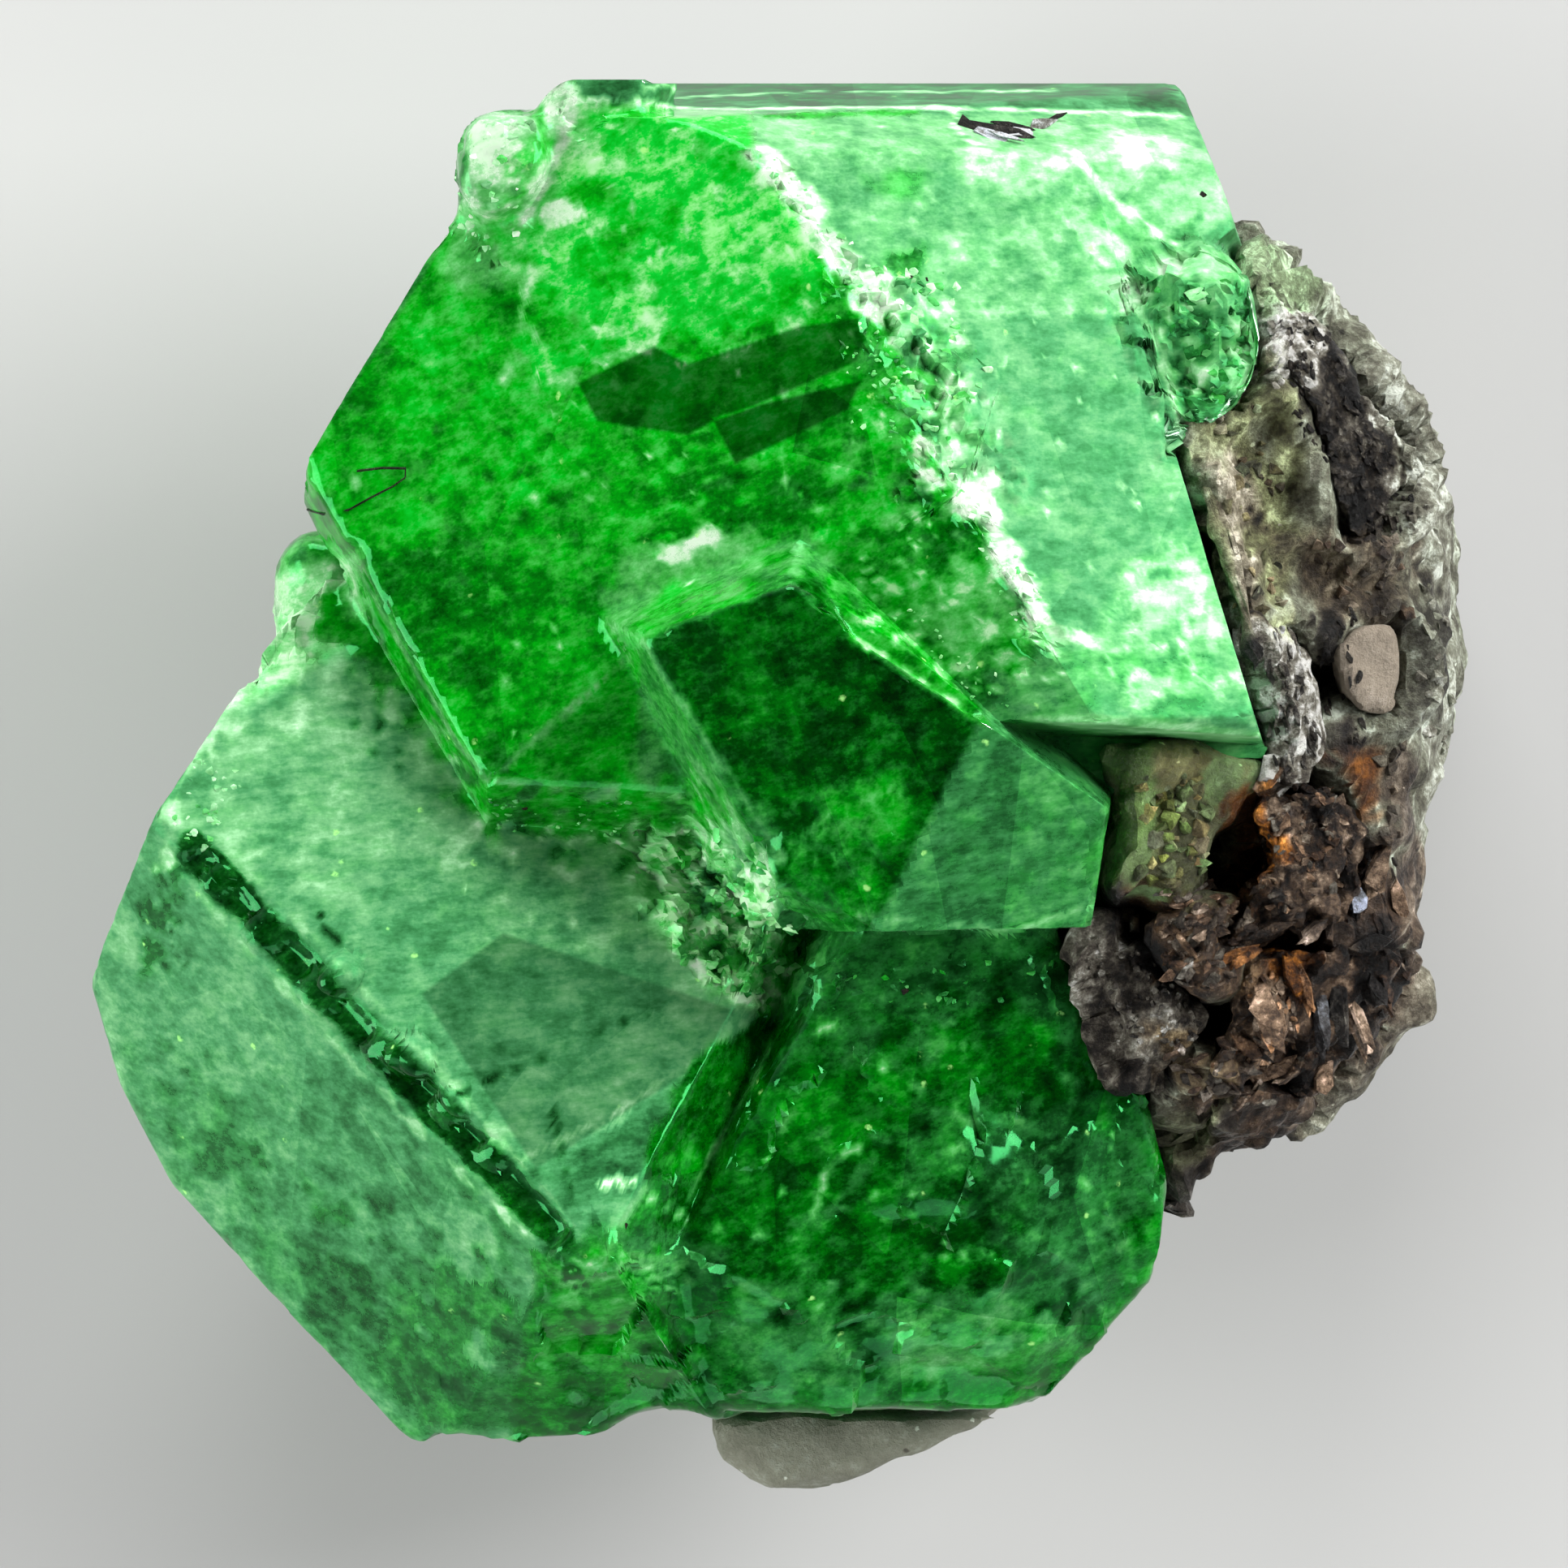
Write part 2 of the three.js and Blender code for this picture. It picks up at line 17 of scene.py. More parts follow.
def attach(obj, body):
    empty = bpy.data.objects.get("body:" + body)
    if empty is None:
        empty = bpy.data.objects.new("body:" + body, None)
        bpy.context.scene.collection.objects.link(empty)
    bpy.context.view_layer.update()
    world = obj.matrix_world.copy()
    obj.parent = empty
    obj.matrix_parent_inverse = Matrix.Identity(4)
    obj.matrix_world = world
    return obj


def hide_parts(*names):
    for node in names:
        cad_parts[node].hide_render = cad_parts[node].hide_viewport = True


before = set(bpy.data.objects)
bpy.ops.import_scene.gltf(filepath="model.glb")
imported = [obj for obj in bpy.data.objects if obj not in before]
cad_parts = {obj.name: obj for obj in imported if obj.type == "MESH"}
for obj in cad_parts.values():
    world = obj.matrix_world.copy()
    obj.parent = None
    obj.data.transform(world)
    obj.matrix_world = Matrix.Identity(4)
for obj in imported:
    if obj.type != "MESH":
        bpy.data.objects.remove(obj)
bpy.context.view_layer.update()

MM = 0.001
scene = bpy.context.scene


# ---------- node helpers ----------


def feed(tree, socket, value):
    """Links a socket to another node's output, or sets it to a plain value."""
    if isinstance(value, bpy.types.NodeSocket):
        tree.links.new(value, socket)
    elif isinstance(value, tuple) and len(value) == 3 and len(socket.default_value) == 4:
        socket.default_value = (*value, 1)
    else:
        socket.default_value = value


def add(tree, kind, inputs=None, **settings):
    """A new shader node. An input is a plain value or the output socket that feeds it."""
    made = tree.nodes.new("ShaderNode" + kind)
    for name, value in settings.items():
        setattr(made, name, value)
    for name, value in (inputs or {}).items():
        feed(tree, made.inputs[name], value)
    return made


def group(name, inputs, outputs):
    """A new node group with these sockets, and its input and output nodes."""
    made = bpy.data.node_groups.new(name, "ShaderNodeTree")
    for label, kind, value in inputs:
        socket = made.interface.new_socket(name=label, in_out="INPUT", socket_type="NodeSocket" + kind)
        if value is not None:
            socket.default_value = value
    for label, kind in outputs:
        made.interface.new_socket(name=label, in_out="OUTPUT", socket_type="NodeSocket" + kind)
    return made, made.nodes.new("NodeGroupInput"), made.nodes.new("NodeGroupOutput")


def use(tree, made_group, **inputs):
    """The first output of a node group placed in a material with its own values."""
    node = tree.nodes.new("ShaderNodeGroup")
    node.node_tree = made_group
    for name, value in inputs.items():
        feed(tree, node.inputs[name], value)
    return node.outputs[0]


def mix(tree, share, first, second, blend="MIX"):
    """A blend of two colours, each a socket or three numbers."""
    made = tree.nodes.new("ShaderNodeMix")
    made.data_type = "RGBA"
    made.blend_type = blend
    for index, value in zip((0, 6, 7), (share, first, second)):
        feed(tree, made.inputs[index], value)
    return made.outputs[2]


def maths(tree, operation, first, second=0.0, third=0.0, clamp=False):
    """A sum on numbers, each a socket or plain."""
    inputs = {0: first, 1: second, 2: third}
    return add(tree, "Math", inputs, operation=operation, use_clamp=clamp).outputs[0]


def step(tree, value, low, high, start=0.0, end=1.0):
    """A smooth step of a number from start to end, as it goes from low to high."""
    sockets = {"Value": value, "From Min": low, "From Max": high, "To Min": start, "To Max": end}
    return add(tree, "MapRange", sockets, interpolation_type="SMOOTHSTEP").outputs["Result"]


def ramp(tree, value, stops):
    """A colour that goes through the stops, pairs of a place from 0 to 1 and a colour."""
    made = add(tree, "ValToRGB", {"Fac": value})
    elements = made.color_ramp.elements
    while len(elements) < len(stops):
        elements.new(0.5)
    for element, (place, colour) in zip(elements, stops):
        element.position = place
        element.color = (*colour, 1)
    return made.outputs["Color"]


def millimetres(tree):
    """The place of a point of the piece, in millimetres."""
    at = add(tree, "TexCoord").outputs["Object"]
    return add(tree, "VectorMath", {0: at, "Scale": 1 / MM}, operation="SCALE").outputs[0]


def noted(tree, name):
    """A number that the shaping noted at each point of the piece."""
    return add(tree, "Attribute", attribute_name=name).outputs["Fac"]


def sway(tree, level, noise, reach, clamp=False):
    """A level moved up and down by a noise from 0 to 1, over this reach."""
    return maths(tree, "MULTIPLY_ADD", maths(tree, "SUBTRACT", noise, 0.5), reach, level, clamp=clamp)


def drawn_place(tree, given):
    """The place of a point, turned by the Turn of a group's inputs and drawn out by its Stretch."""
    sockets = {"Vector": millimetres(tree), "Angle": given["Turn"]}
    turned = add(tree, "VectorRotate", sockets, rotation_type="Z_AXIS").outputs[0]
    return add(tree, "VectorMath", {0: turned, 1: given["Stretch"]}, operation="MULTIPLY").outputs[0]


def new_material(name):
    """A material, its node tree and its Principled shader."""
    material = bpy.data.materials.new(name)
    material.use_nodes = True
    tree = material.node_tree
    return material, tree, tree.nodes["Principled BSDF"]


# ---------- shared effects ----------


def clouds_group():
    """Noise from 0 to 1. Stretch draws it out along the axes, once it is turned by Turn."""
    made, start, end = group(
        "clouds",
        [("Scale", "Float", 1.0), ("Detail", "Float", 4.0), ("Rough", "Float", 0.6),
         ("Shift", "Vector", None), ("Stretch", "Vector", (1, 1, 1)), ("Turn", "Float", 0.0),
         ("Warp", "Float", 0.0)],
        [("Level", "Float")],
    )
    given = start.outputs
    drawn = drawn_place(made, given)
    moved = add(made, "VectorMath", {0: drawn, 1: given["Shift"]}, operation="ADD").outputs[0]
    clouds = add(made, "TexNoise", {
        "Vector": moved, "Scale": given["Scale"], "Detail": given["Detail"], "Roughness": given["Rough"],
        "Distortion": given["Warp"],
    }).outputs["Fac"]
    made.links.new(step(made, clouds, 0.25, 0.75), end.inputs["Level"])
    return made


def specks_group():
    """Small ragged specks strewn at random. Share is how many of the cells have one."""
    made, start, end = group(
        "specks",
        [("Scale", "Float", 2.0), ("Size", "Float", 0.2), ("Share", "Float", 0.3),
         ("Shift", "Vector", None)],
        [("Mask", "Float")],
    )
    given = start.outputs
    moved = add(made, "VectorMath", {0: millimetres(made), 1: given["Shift"]}, operation="ADD").outputs[0]
    wobble = add(made, "TexNoise", {"Vector": moved, "Scale": 6.0, "Detail": 2.0}).outputs["Color"]
    swayed = mix(made, 0.15, moved, wobble, "ADD")
    cells = add(made, "TexVoronoi", {"Vector": swayed, "Scale": given["Scale"]})
    draw = add(made, "SeparateColor", {"Color": cells.outputs["Color"]}).outputs["Red"]
    chosen = maths(made, "LESS_THAN", draw, given["Share"])
    core = maths(made, "MULTIPLY", given["Size"], 0.4)
    near = step(made, cells.outputs["Distance"], core, given["Size"], 1.0, 0.0)
    made.links.new(maths(made, "MULTIPLY", near, chosen), end.inputs["Mask"])
    return made


def panes_group():
    """Flat panes with straight borders, each at its own level from 0 to 1."""
    made, start, end = group(
        "panes", [("Scale", "Float", 0.6), ("Turn", "Float", 0.0), ("Stretch", "Vector", (1, 1, 1))],
        [("Level", "Float")],
    )
    given = start.outputs
    cells = add(made, "TexVoronoi", {"Vector": drawn_place(made, given), "Scale": given["Scale"]})
    level = add(made, "SeparateColor", {"Color": cells.outputs["Color"]}).outputs["Red"]
    made.links.new(level, end.inputs["Level"])
    return made


CLOUDS = clouds_group()
SPECKS = specks_group()
PANES = panes_group()


def window(tree, outline, soft=0.03):
    """Mask of a convex outline seen from above, for borders as straight as a crystal's."""
    turn = sum(ax * by - bx * ay for (ax, ay), (bx, by) in zip(outline, outline[1:] + outline[:1]))
    if turn < 0:
        outline = outline[::-1]
    at = millimetres(tree)
    depth = None
    for (ax, ay), (bx, by) in zip(outline, outline[1:] + outline[:1]):
        length = math.hypot(bx - ax, by - ay)
        inward = ((ay - by) / length, (bx - ax) / length, 0.0)
        along = add(tree, "VectorMath", {0: at, 1: inward}, operation="DOT_PRODUCT").outputs["Value"]
        reach = maths(tree, "SUBTRACT", along, ax * inward[0] + ay * inward[1])
        depth = reach if depth is None else maths(tree, "MINIMUM", depth, reach)
    return step(tree, depth, -soft, soft)


# ---------- camera, floor and light ----------

CAMERA_HEIGHT = 126.75
LENS = 180.0
SENSOR = 36.0


def set_camera():
    """Straight above the middle of the specimen, with the matrix on the right."""
    data = bpy.data.cameras.new("camera")
    data.lens = LENS
    data.sensor_width = SENSOR
    data.clip_start = 10 * MM
    data.clip_end = 2.0
    data.dof.use_dof = False
    camera = bpy.data.objects.new("camera", data)
    camera.location = (0, 0, CAMERA_HEIGHT * MM)
    scene.collection.objects.link(camera)
    scene.camera = camera


def soft_box(name, place, size, power):
    """A square studio light that faces the specimen."""
    data = bpy.data.lights.new(name, "AREA")
    data.shape = "SQUARE"
    data.size = size * MM
    data.energy = power
    lamp = bpy.data.objects.new(name, data)
    lamp.location = Vector(place) * MM
    aim = Vector((0, 0, 6 * MM)) - lamp.location
    lamp.rotation_euler = aim.to_track_quat("-Z", "Y").to_euler()
    scene.collection.objects.link(lamp)


def set_sky():
    """Soft light that is dim overhead and brighter towards the horizon, as in a tent open at the top."""
    world = bpy.data.worlds.new("studio")
    world.use_nodes = True
    tree = world.node_tree
    way = add(tree, "TexCoord").outputs["Generated"]
    height = add(tree, "SeparateXYZ", {0: way}).outputs["Z"]
    level = step(tree, height, 0.05, 0.8, 1.0, 0.1)
    background = tree.nodes["Background"]
    background.inputs["Color"].default_value = (0.97, 0.98, 1.0, 1)
    tree.links.new(level, background.inputs["Strength"])
    scene.world = world


def set_stage():
    """A plain pale floor under soft light from all round."""
    material, tree, shader = new_material("plain_floor")
    paper = use(tree, CLOUDS, Scale=0.05, Detail=2.0)
    feed(tree, shader.inputs["Base Color"], mix(tree, paper, (0.43, 0.43, 0.425), (0.45, 0.45, 0.44)))
    shader.inputs["Roughness"].default_value = 0.9
    reach = 600 * MM
    mesh = bpy.data.meshes.new("floor")
    corners = [(-reach, -reach, 0), (reach, -reach, 0), (reach, reach, 0), (-reach, reach, 0)]
    mesh.from_pydata(corners, [], [(0, 1, 2, 3)])
    mesh.materials.append(material)
    floor = bpy.data.objects.new("floor", mesh)
    scene.collection.objects.link(floor)
    set_sky()
    soft_box("key", (150, 70, 85), 110, 0.62)
    soft_box("fill", (-170, -30, 80), 120, 0.42)
    soft_box("rim", (-20, 180, 60), 110, 0.38)
    soft_box("front", (10, -190, 70), 110, 0.08)
    scene.view_settings.view_transform = "Standard"
    scene.cycles.max_bounces = 4
    scene.cycles.diffuse_bounces = 1
    scene.cycles.glossy_bounces = 2
    scene.cycles.transmission_bounces = 4
    scene.cycles.use_light_tree = False


# ---------- shaping ----------


def fine_mesh(node, longest):
    """The points and triangles of a CAD node, in millimetres, with no edge longer than longest(middles)."""
    work = bmesh.new()
    work.from_mesh(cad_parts[node].data)
    bmesh.ops.remove_doubles(work, verts=work.verts, dist=0.001 * MM)
    bmesh.ops.dissolve_limit(work, angle_limit=math.radians(0.5), verts=work.verts, edges=work.edges)
    bmesh.ops.triangulate(work, faces=work.faces)
    points = np.array([v.co[:] for v in work.verts]) / MM
    faces = np.array([[v.index for v in f.verts] for f in work.faces])
    work.free()
    for _ in range(12):
        sides = np.sort(sides_of(faces), axis=1)
        keys, which = np.unique(sides[:, 0] * len(points) + sides[:, 1], return_inverse=True)
        ends = points[np.stack([keys // len(points), keys % len(points)], axis=1)]
        middles = ends.mean(axis=1)
        long = np.linalg.norm(ends[:, 0] - ends[:, 1], axis=1) > longest(middles)
        if not long.any():
            break
        halves = np.full(len(keys), -1)
        halves[long] = len(points) + np.arange(long.sum())
        points = np.concatenate([points, middles[long]])
        faces = split(faces, halves[which.reshape(3, -1)].T)
    return points, faces


def split(faces, halves):
    """Triangles cut at the middles of their edges. halves holds each edge's middle point, or -1."""
    marked = halves >= 0
    count = marked.sum(axis=1)
    first = np.where(count == 2, (np.argmin(marked, axis=1) + 1) % 3, np.argmax(marked, axis=1))
    order = (first[:, None] + np.arange(3)) % 3
    a, b, c = np.take_along_axis(faces, order, axis=1).T
    ab, bc, ca = np.take_along_axis(halves, order, axis=1).T
    cuts = {
        0: [(a, b, c)],
        1: [(a, ab, c), (ab, b, c)],
        2: [(ab, b, bc), (a, ab, bc), (a, bc, c)],
        3: [(a, ab, ca), (ab, b, bc), (ca, bc, c), (ab, bc, ca)],
    }
    made = [np.stack(t, axis=1)[count == n] for n, triangles in cuts.items() for t in triangles]
    return np.concatenate(made)


def even_mesh(node, size):
    """The points and triangles of a CAD node's skin, in millimetres, drawn again in even steps."""
    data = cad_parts[node].data.copy()
    data.transform(Matrix.Scale(1 / MM, 4))
    model = bpy.data.objects.new("even", data)
    scene.collection.objects.link(model)
    remesh = model.modifiers.new("even", "REMESH")
    remesh.mode = "VOXEL"
    remesh.voxel_size = size
    shape = model.evaluated_get(bpy.context.evaluated_depsgraph_get()).to_mesh()
    points = np.zeros(len(shape.vertices) * 3)
    shape.vertices.foreach_get("co", points)
    shape.calc_loop_triangles()
    faces = np.zeros(len(shape.loop_triangles) * 3, np.int32)
    shape.loop_triangles.foreach_get("vertices", faces)
    bpy.data.objects.remove(model)
    bpy.data.meshes.remove(data)
    return points.reshape(-1, 3), faces.reshape(-1, 3).astype(np.int64)


def normals_of(points, faces):
    """Unit normals at the points."""
    corners = points[faces]
    across = np.cross(corners[:, 1] - corners[:, 0], corners[:, 2] - corners[:, 0])
    total = np.zeros_like(points)
    for i in range(3):
        np.add.at(total, faces[:, i], across)
    return total / np.maximum(np.linalg.norm(total, axis=1, keepdims=True), 1e-12)


def sides_of(faces):
    """The two ends of each side of each triangle."""
    return np.concatenate([faces[:, [0, 1]], faces[:, [1, 2]], faces[:, [2, 0]]])


def middles_round(points, faces):
    """The middle of the neighbours of each point."""
    sides = sides_of(faces)
    count = np.bincount(sides[:, 0], minlength=len(points))[:, None]
    total = np.zeros_like(points)
    np.add.at(total, sides[:, 0], points[sides[:, 1]])
    return total / np.maximum(count, 1)


def soften(points, faces, rounds, keep=None):
    """Points drawn towards the middle of their neighbours, which rounds the edges off a little."""
    share = 0.5 if keep is None else 0.5 * (1 - keep[:, None])
    for _ in range(rounds):
        points = points + (middles_round(points, faces) - points) * share
    return points


def bend_at(points, faces, normals):
    """How far each point stands proud of its neighbours' middle, in millimetres: a crest is above 0."""
    return ((points - middles_round(points, faces)) * normals).sum(axis=1)


def smooth_step(low, high, values):
    """0 at low and 1 at high, with a soft start and end."""
    share = np.clip((values - low) / (high - low), 0, 1)
    return share * share * (3 - 2 * share)


def swirl(points, size, octaves=4, shift=0.0):
    """Noise of about -1 to 1 at the points. Size is that of its largest swells."""
    moved = (points / size + shift).tolist()
    return np.array([noise.fractal(p, 1.0, 2.0, octaves) for p in moved])


def chance(cells, seed):
    """A number from 0 to 1 for each row of whole numbers, always the same one."""
    x, y, z = cells.T
    mixed = (x * 73856093) ^ (y * 19349663) ^ (z * 83492791) ^ (seed * 2654435)
    mixed = (mixed ^ (mixed >> 13)) * 1274126177 & 0x7FFFFFFF
    mixed = (mixed ^ (mixed >> 15)) * 668265263 & 0x7FFFFFFF
    return (mixed & 0xFFFFF) / 0xFFFFF


def grains(points, size, seed=1, stretch=(1, 1, 1)):
    """The grain each point belongs to: offset from its heart, three chances of its own, and how near
    its border the point is, all in millimetres but the chances."""
    scaled = points / (size * np.array(stretch))
    base = np.floor(scaled).astype(np.int64)
    nearest = np.full(len(points), 9e9)
    second = np.full(len(points), 9e9)
    heart = np.zeros_like(points)
    home = np.zeros_like(base)
    for way in np.ndindex(3, 3, 3):
        cell = base + np.array(way) - 1
        place = cell + np.stack([chance(cell, seed + i) for i in (11, 12, 13)], axis=1)
        away = np.linalg.norm(scaled - place, axis=1)
        closer = away < nearest
        second = np.where(closer, nearest, np.minimum(second, away))
        nearest = np.where(closer, away, nearest)
        heart[closer] = place[closer]
        home[closer] = cell[closer]
    own = np.stack([chance(home, seed + i) for i in (21, 22, 23)], axis=1)
    return (scaled - heart) * size * np.array(stretch), own, (second - nearest) * size


def broken_relief(points, size, tilt, depth, seed=1, stretch=(1, 1, 1), groove=0.0):
    """Height of a broken surface: each grain has its own level and slant, and a groove round it."""
    offset, own, border = grains(points, size, seed, stretch)
    sunk = groove * (1 - smooth_step(0, 0.35 * size, border))
    return depth * (2 * own[:, 0] - 1) + tilt * (offset * (2 * own - 1)).sum(axis=1) - sunk


def make_piece(name, points, faces, node, notes=None, crease=35):
    """A new piece from points in millimetres, with numbers noted at its points."""
    mesh = bpy.data.meshes.new(name)
    mesh.from_pydata((points * MM).tolist(), [], faces.tolist())
    for label, values in (notes or {}).items():
        mesh.attributes.new(label, "FLOAT", "POINT").data.foreach_set("value", values.astype(np.float32))
    mesh.shade_smooth()
    mesh.set_sharp_from_angle(angle=math.radians(crease))
    piece = bpy.data.objects.new(name, mesh)
    scene.collection.objects.link(piece)
    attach(piece, "root")
    if node:
        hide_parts(node)
    return piece


def depth_inside(points, outline):
    """How deep the points lie inside an outline seen from above. It is below 0 outside."""
    x, y = points[:, 0], points[:, 1]
    inside = np.zeros(len(points), bool)
    for (ax, ay), (bx, by) in zip(outline, outline[1:] + outline[:1]):
        if ay == by:
            continue
        across = ((ay > y) != (by > y)) & (x < (bx - ax) * (y - ay) / (by - ay) + ax)
        inside ^= across
    away = distance_to(points, outline + outline[:1])
    return np.where(inside, away, -away)


def distance_to(points, line):
    """How far the points are from a line seen from above."""
    flat = points[:, :2]
    nearest = np.full(len(points), 9e9)
    for a, b in zip(line, line[1:]):
        a = np.array(a)
        span = np.array(b) - a
        share = np.clip(((flat - a) @ span) / max(span @ span, 1e-9), 0, 1)
        nearest = np.minimum(nearest, np.linalg.norm(flat - a - share[:, None] * span, axis=1))
    return nearest


# ---------- the garnets: shape ----------

# Lines and outlines, seen from above, of the broken and worn places of the garnets.
RIDGE = [(-0.43, 9.3), (1.12, 7.37), (2.44, 5.8), (2.19, 4.71), (3.02, 3.63), (3.84, 2.08)]
GROOVE = [(-8.96, -1.02), (-3.3, -6.75)]
GROOVE_BEADS = [(-8.43, -1.44, 0.26), (-7.72, -2.2, 0.34), (-6.86, -3.05, 0.36), (-6.55, -2.8, 0.3),
                (-5.92, -3.97, 0.34), (-5.5, -4.05, 0.36), (-4.95, -4.8, 0.3), (-4.3, -5.5, 0.24)]
LEFT_BUMP = [(-8.1, 1.2), (-8.1, 3.2), (-6.4, 3.5), (-6.3, 2.2)]
TOP_KNOBS = [(-5.2, 7.6), (-5.2, 9.6), (-3.4, 10.6), (-2.6, 9.9), (-3.7, 9.2), (-4.0, 7.8)]
SIDE_SCAR = [(4.8, 7.3), (5.1, 7.8), (5.73, 8.1), (6.6, 8.05), (7.0, 7.51), (7.18, 6.6), (7.06, 5.87),
             (6.45, 5.27), (5.7, 4.9), (5.42, 5.7), (5.1, 6.5)]
LOWER_SLIT = [(3.59, 0.9), (4.41, 0.78), (7.2, 0.59), (7.2, 0.34), (4.96, 0.34), (4.92, -0.23),
              (4.68, -0.07), (4.05, 0.41)]
TOP_STRIP = [(-3.1, 10.1), (6.4, 10.1), (6.4, 11.2), (-3.1, 11.2)]
RUBBLE = [(-2.4, -0.6), (-0.3, -0.8), (0.5, -2.4), (0.9, -3.1), (-0.3, -3.5), (-1.4, -2.9), (-2.2, -1.6)]
CHIPPED_RIDGE = [(0.6, 7.6), (1.6, 7.4), (3.0, 5.9), (3.3, 4.3), (1.9, 3.7), (1.6, 5.2)]
SHELL_HEART = (0.3, -1.9, 11.0)
SHELL_RIPPLES = [(-0.05, -1.2), (0.4, -0.2), (1.5, 0.3), (1.8, 0), (1.3, -1.9), (0.3, -1.9)]
BROKEN_FOOT = [(-3.7, -7.1), (-2.4, -6.6), (-0.5, -3.6), (4.3, -2.3), (6.6, -4.0), (6.0, -9.5), (0, -9.6),
               (-4.2, -10.2)]


def within(points, outline, soft, shake=0.0):
    """Soft mask of an outline. shake makes its border ragged."""
    return smooth_step(-soft, soft, depth_inside(points, outline) + shake)


def along(points, line, width, soft, shake=0.0):
    """Soft mask of a line of this half width. shake makes its sides ragged."""
    return 1 - smooth_step(max(width - soft, 0), width + soft, distance_to(points, line) + shake)


def fill(points, outline, level, soft, normals, lowest=6):
    """Raises the low places of the top side inside an outline, seen from above, up to a level."""
    open_up = (points[:, 2] > lowest) & (normals[:, 2] > -0.2)
    lift = within(points, outline, soft) * np.clip(level - points[:, 2], 0, None) * open_up
    points[:, 2] += lift


# The pale face's plane: its height at the middle, and its fall for each millimetre towards the head.
PALE_HEIGHT = 12.15
PALE_FALL = 0.311


def pale_plane(points):
    """The height of the pale face, which falls towards the head, at each point."""
    return PALE_HEIGHT - PALE_FALL * points[:, 1]


def garnet_step(middles):
    """The longest edge of the garnets' mesh: short on top, and shorter still where they are broken."""
    busy = distance_to(middles, GROOVE) < 0.6
    for outline in (RUBBLE, SIDE_SCAR, TOP_KNOBS, CHIPPED_RIDGE):
        busy |= depth_inside(middles, outline) > -0.2
    height = middles[:, 2]
    return np.select([busy & (height > 7.7), height > 7.7, height > 4.5], [0.14, 0.19, 0.3], 0.6)


def carve_garnets(points, faces):
    """Relief of the garnets' skin: growth swells, chips, broken ground, glassy beads and shell ripples."""
    # Soft edges, and the dips filled.
    foot = within(points, BROKEN_FOOT, 0.3) * smooth_step(3.0, 5.0, points[:, 2])
    lumps = np.clip(within(points, TOP_KNOBS, 0.2) + within(points, LEFT_BUMP, 0.2), 0, 1)
    points = soften(points, faces, 10, 1 - np.maximum(foot, lumps))
    normals = normals_of(points, faces)
    fill(points, SIDE_SCAR, pale_plane(points), 0.12, normals)
    fill(points, LOWER_SLIT, 10.7, 0.05, normals)
    smooth = np.maximum(within(points, SIDE_SCAR, 0.2), along(points, GROOVE, 0.4, 0.1))
    points = soften(points, faces, 5, 1 - smooth)
    normals = normals_of(points, faces)
    # Where the edges are, which side is up, and the noises of the relief.
    crest = bend_at(points, faces, normals)
    up = smooth_step(3.2, 4.6, points[:, 2]) * smooth_step(-0.1, 0.2, normals[:, 2])
    paint = smooth_step(3.0, 4.5, points[:, 2]) * smooth_step(-0.7, -0.3, normals[:, 2])
    wave = swirl(points, 2.2, 3)
    fray = swirl(points, 0.6, 3, 7.0)
    small = swirl(points, 0.35, 2, 9.0)
    # Growth swells, and edges chipped here and there.
    height = 0.02 * wave + 0.012 * fray
    edge = smooth_step(0.004, 0.02, crest)
    height -= 0.08 * edge * smooth_step(0.1, 0.6, fray)
    # Broken ground.
    rough = up * within(points, RUBBLE, 0.3, 0.3 * fray)
    rough = np.maximum(rough, 0.8 * up * within(points, CHIPPED_RIDGE, 0.35, 0.4 * fray))
    rough = np.maximum(rough, 0.9 * up * along(points, RIDGE, 0.16, 0.12, 0.2 * fray))
    rough = np.maximum(rough, 0.5 * up * within(points, SIDE_SCAR, 0.15, 0.2 * fray))
    height += rough * broken_relief(points, 0.55, 0.4, 0.06, 3)
    height += rough * broken_relief(points, 0.24, 0.35, 0.02, 4)
    height += lumps * (broken_relief(points, 0.7, 0.2, 0.04, 6) - 0.08)
    height += up * within(points, SIDE_SCAR, 0.1) * broken_relief(points, 0.8, 0.4, 0.08, 5)
    height += up * foot * (0.09 * swirl(points, 1.5, 2, 2.0) + broken_relief(points, 1.3, 0.1, 0.02, 8))
    # Ripples round the heart of the shell break, and beads in the groove.
    rings = np.linalg.norm(points - np.array(SHELL_HEART), axis=1)
    height += up * within(points, SHELL_RIPPLES, 0.15) * 0.03 * np.sin(rings * 14 + 2 * wave)
    trough = along(points, GROOVE, 0.26, 0.12, 0.1 * fray) * up
    height *= 1 - 0.7 * trough
    for x, y, size in GROOVE_BEADS:
        away = np.hypot(points[:, 0] - x, points[:, 1] - y)
        height += up * 0.6 * size * np.sqrt(np.clip(1 - (away / size) ** 2, 0, 1))
    # The sides stand proud less than the top, and the head side keeps within the solid.
    height = np.where(height > 0, height * (0.25 + 0.75 * smooth_step(0, 0.4, normals[:, 2])), height)
    points = points + normals * height[:, None]
    drop = np.minimum(1.2 * np.clip(-3.1 - points[:, 0], 0, None) ** 2, 0.45) + 0.06 * (points[:, 0] > -2.1)
    points[:, 1] = np.minimum(points[:, 1], 11.39 - 0.09 * points[:, 2] - drop)
    return points, {"rough": rough, "edge": edge, "up": paint, "fray": fray, "small": small, "wave": wave}


# ---------- the garnets: colour ----------

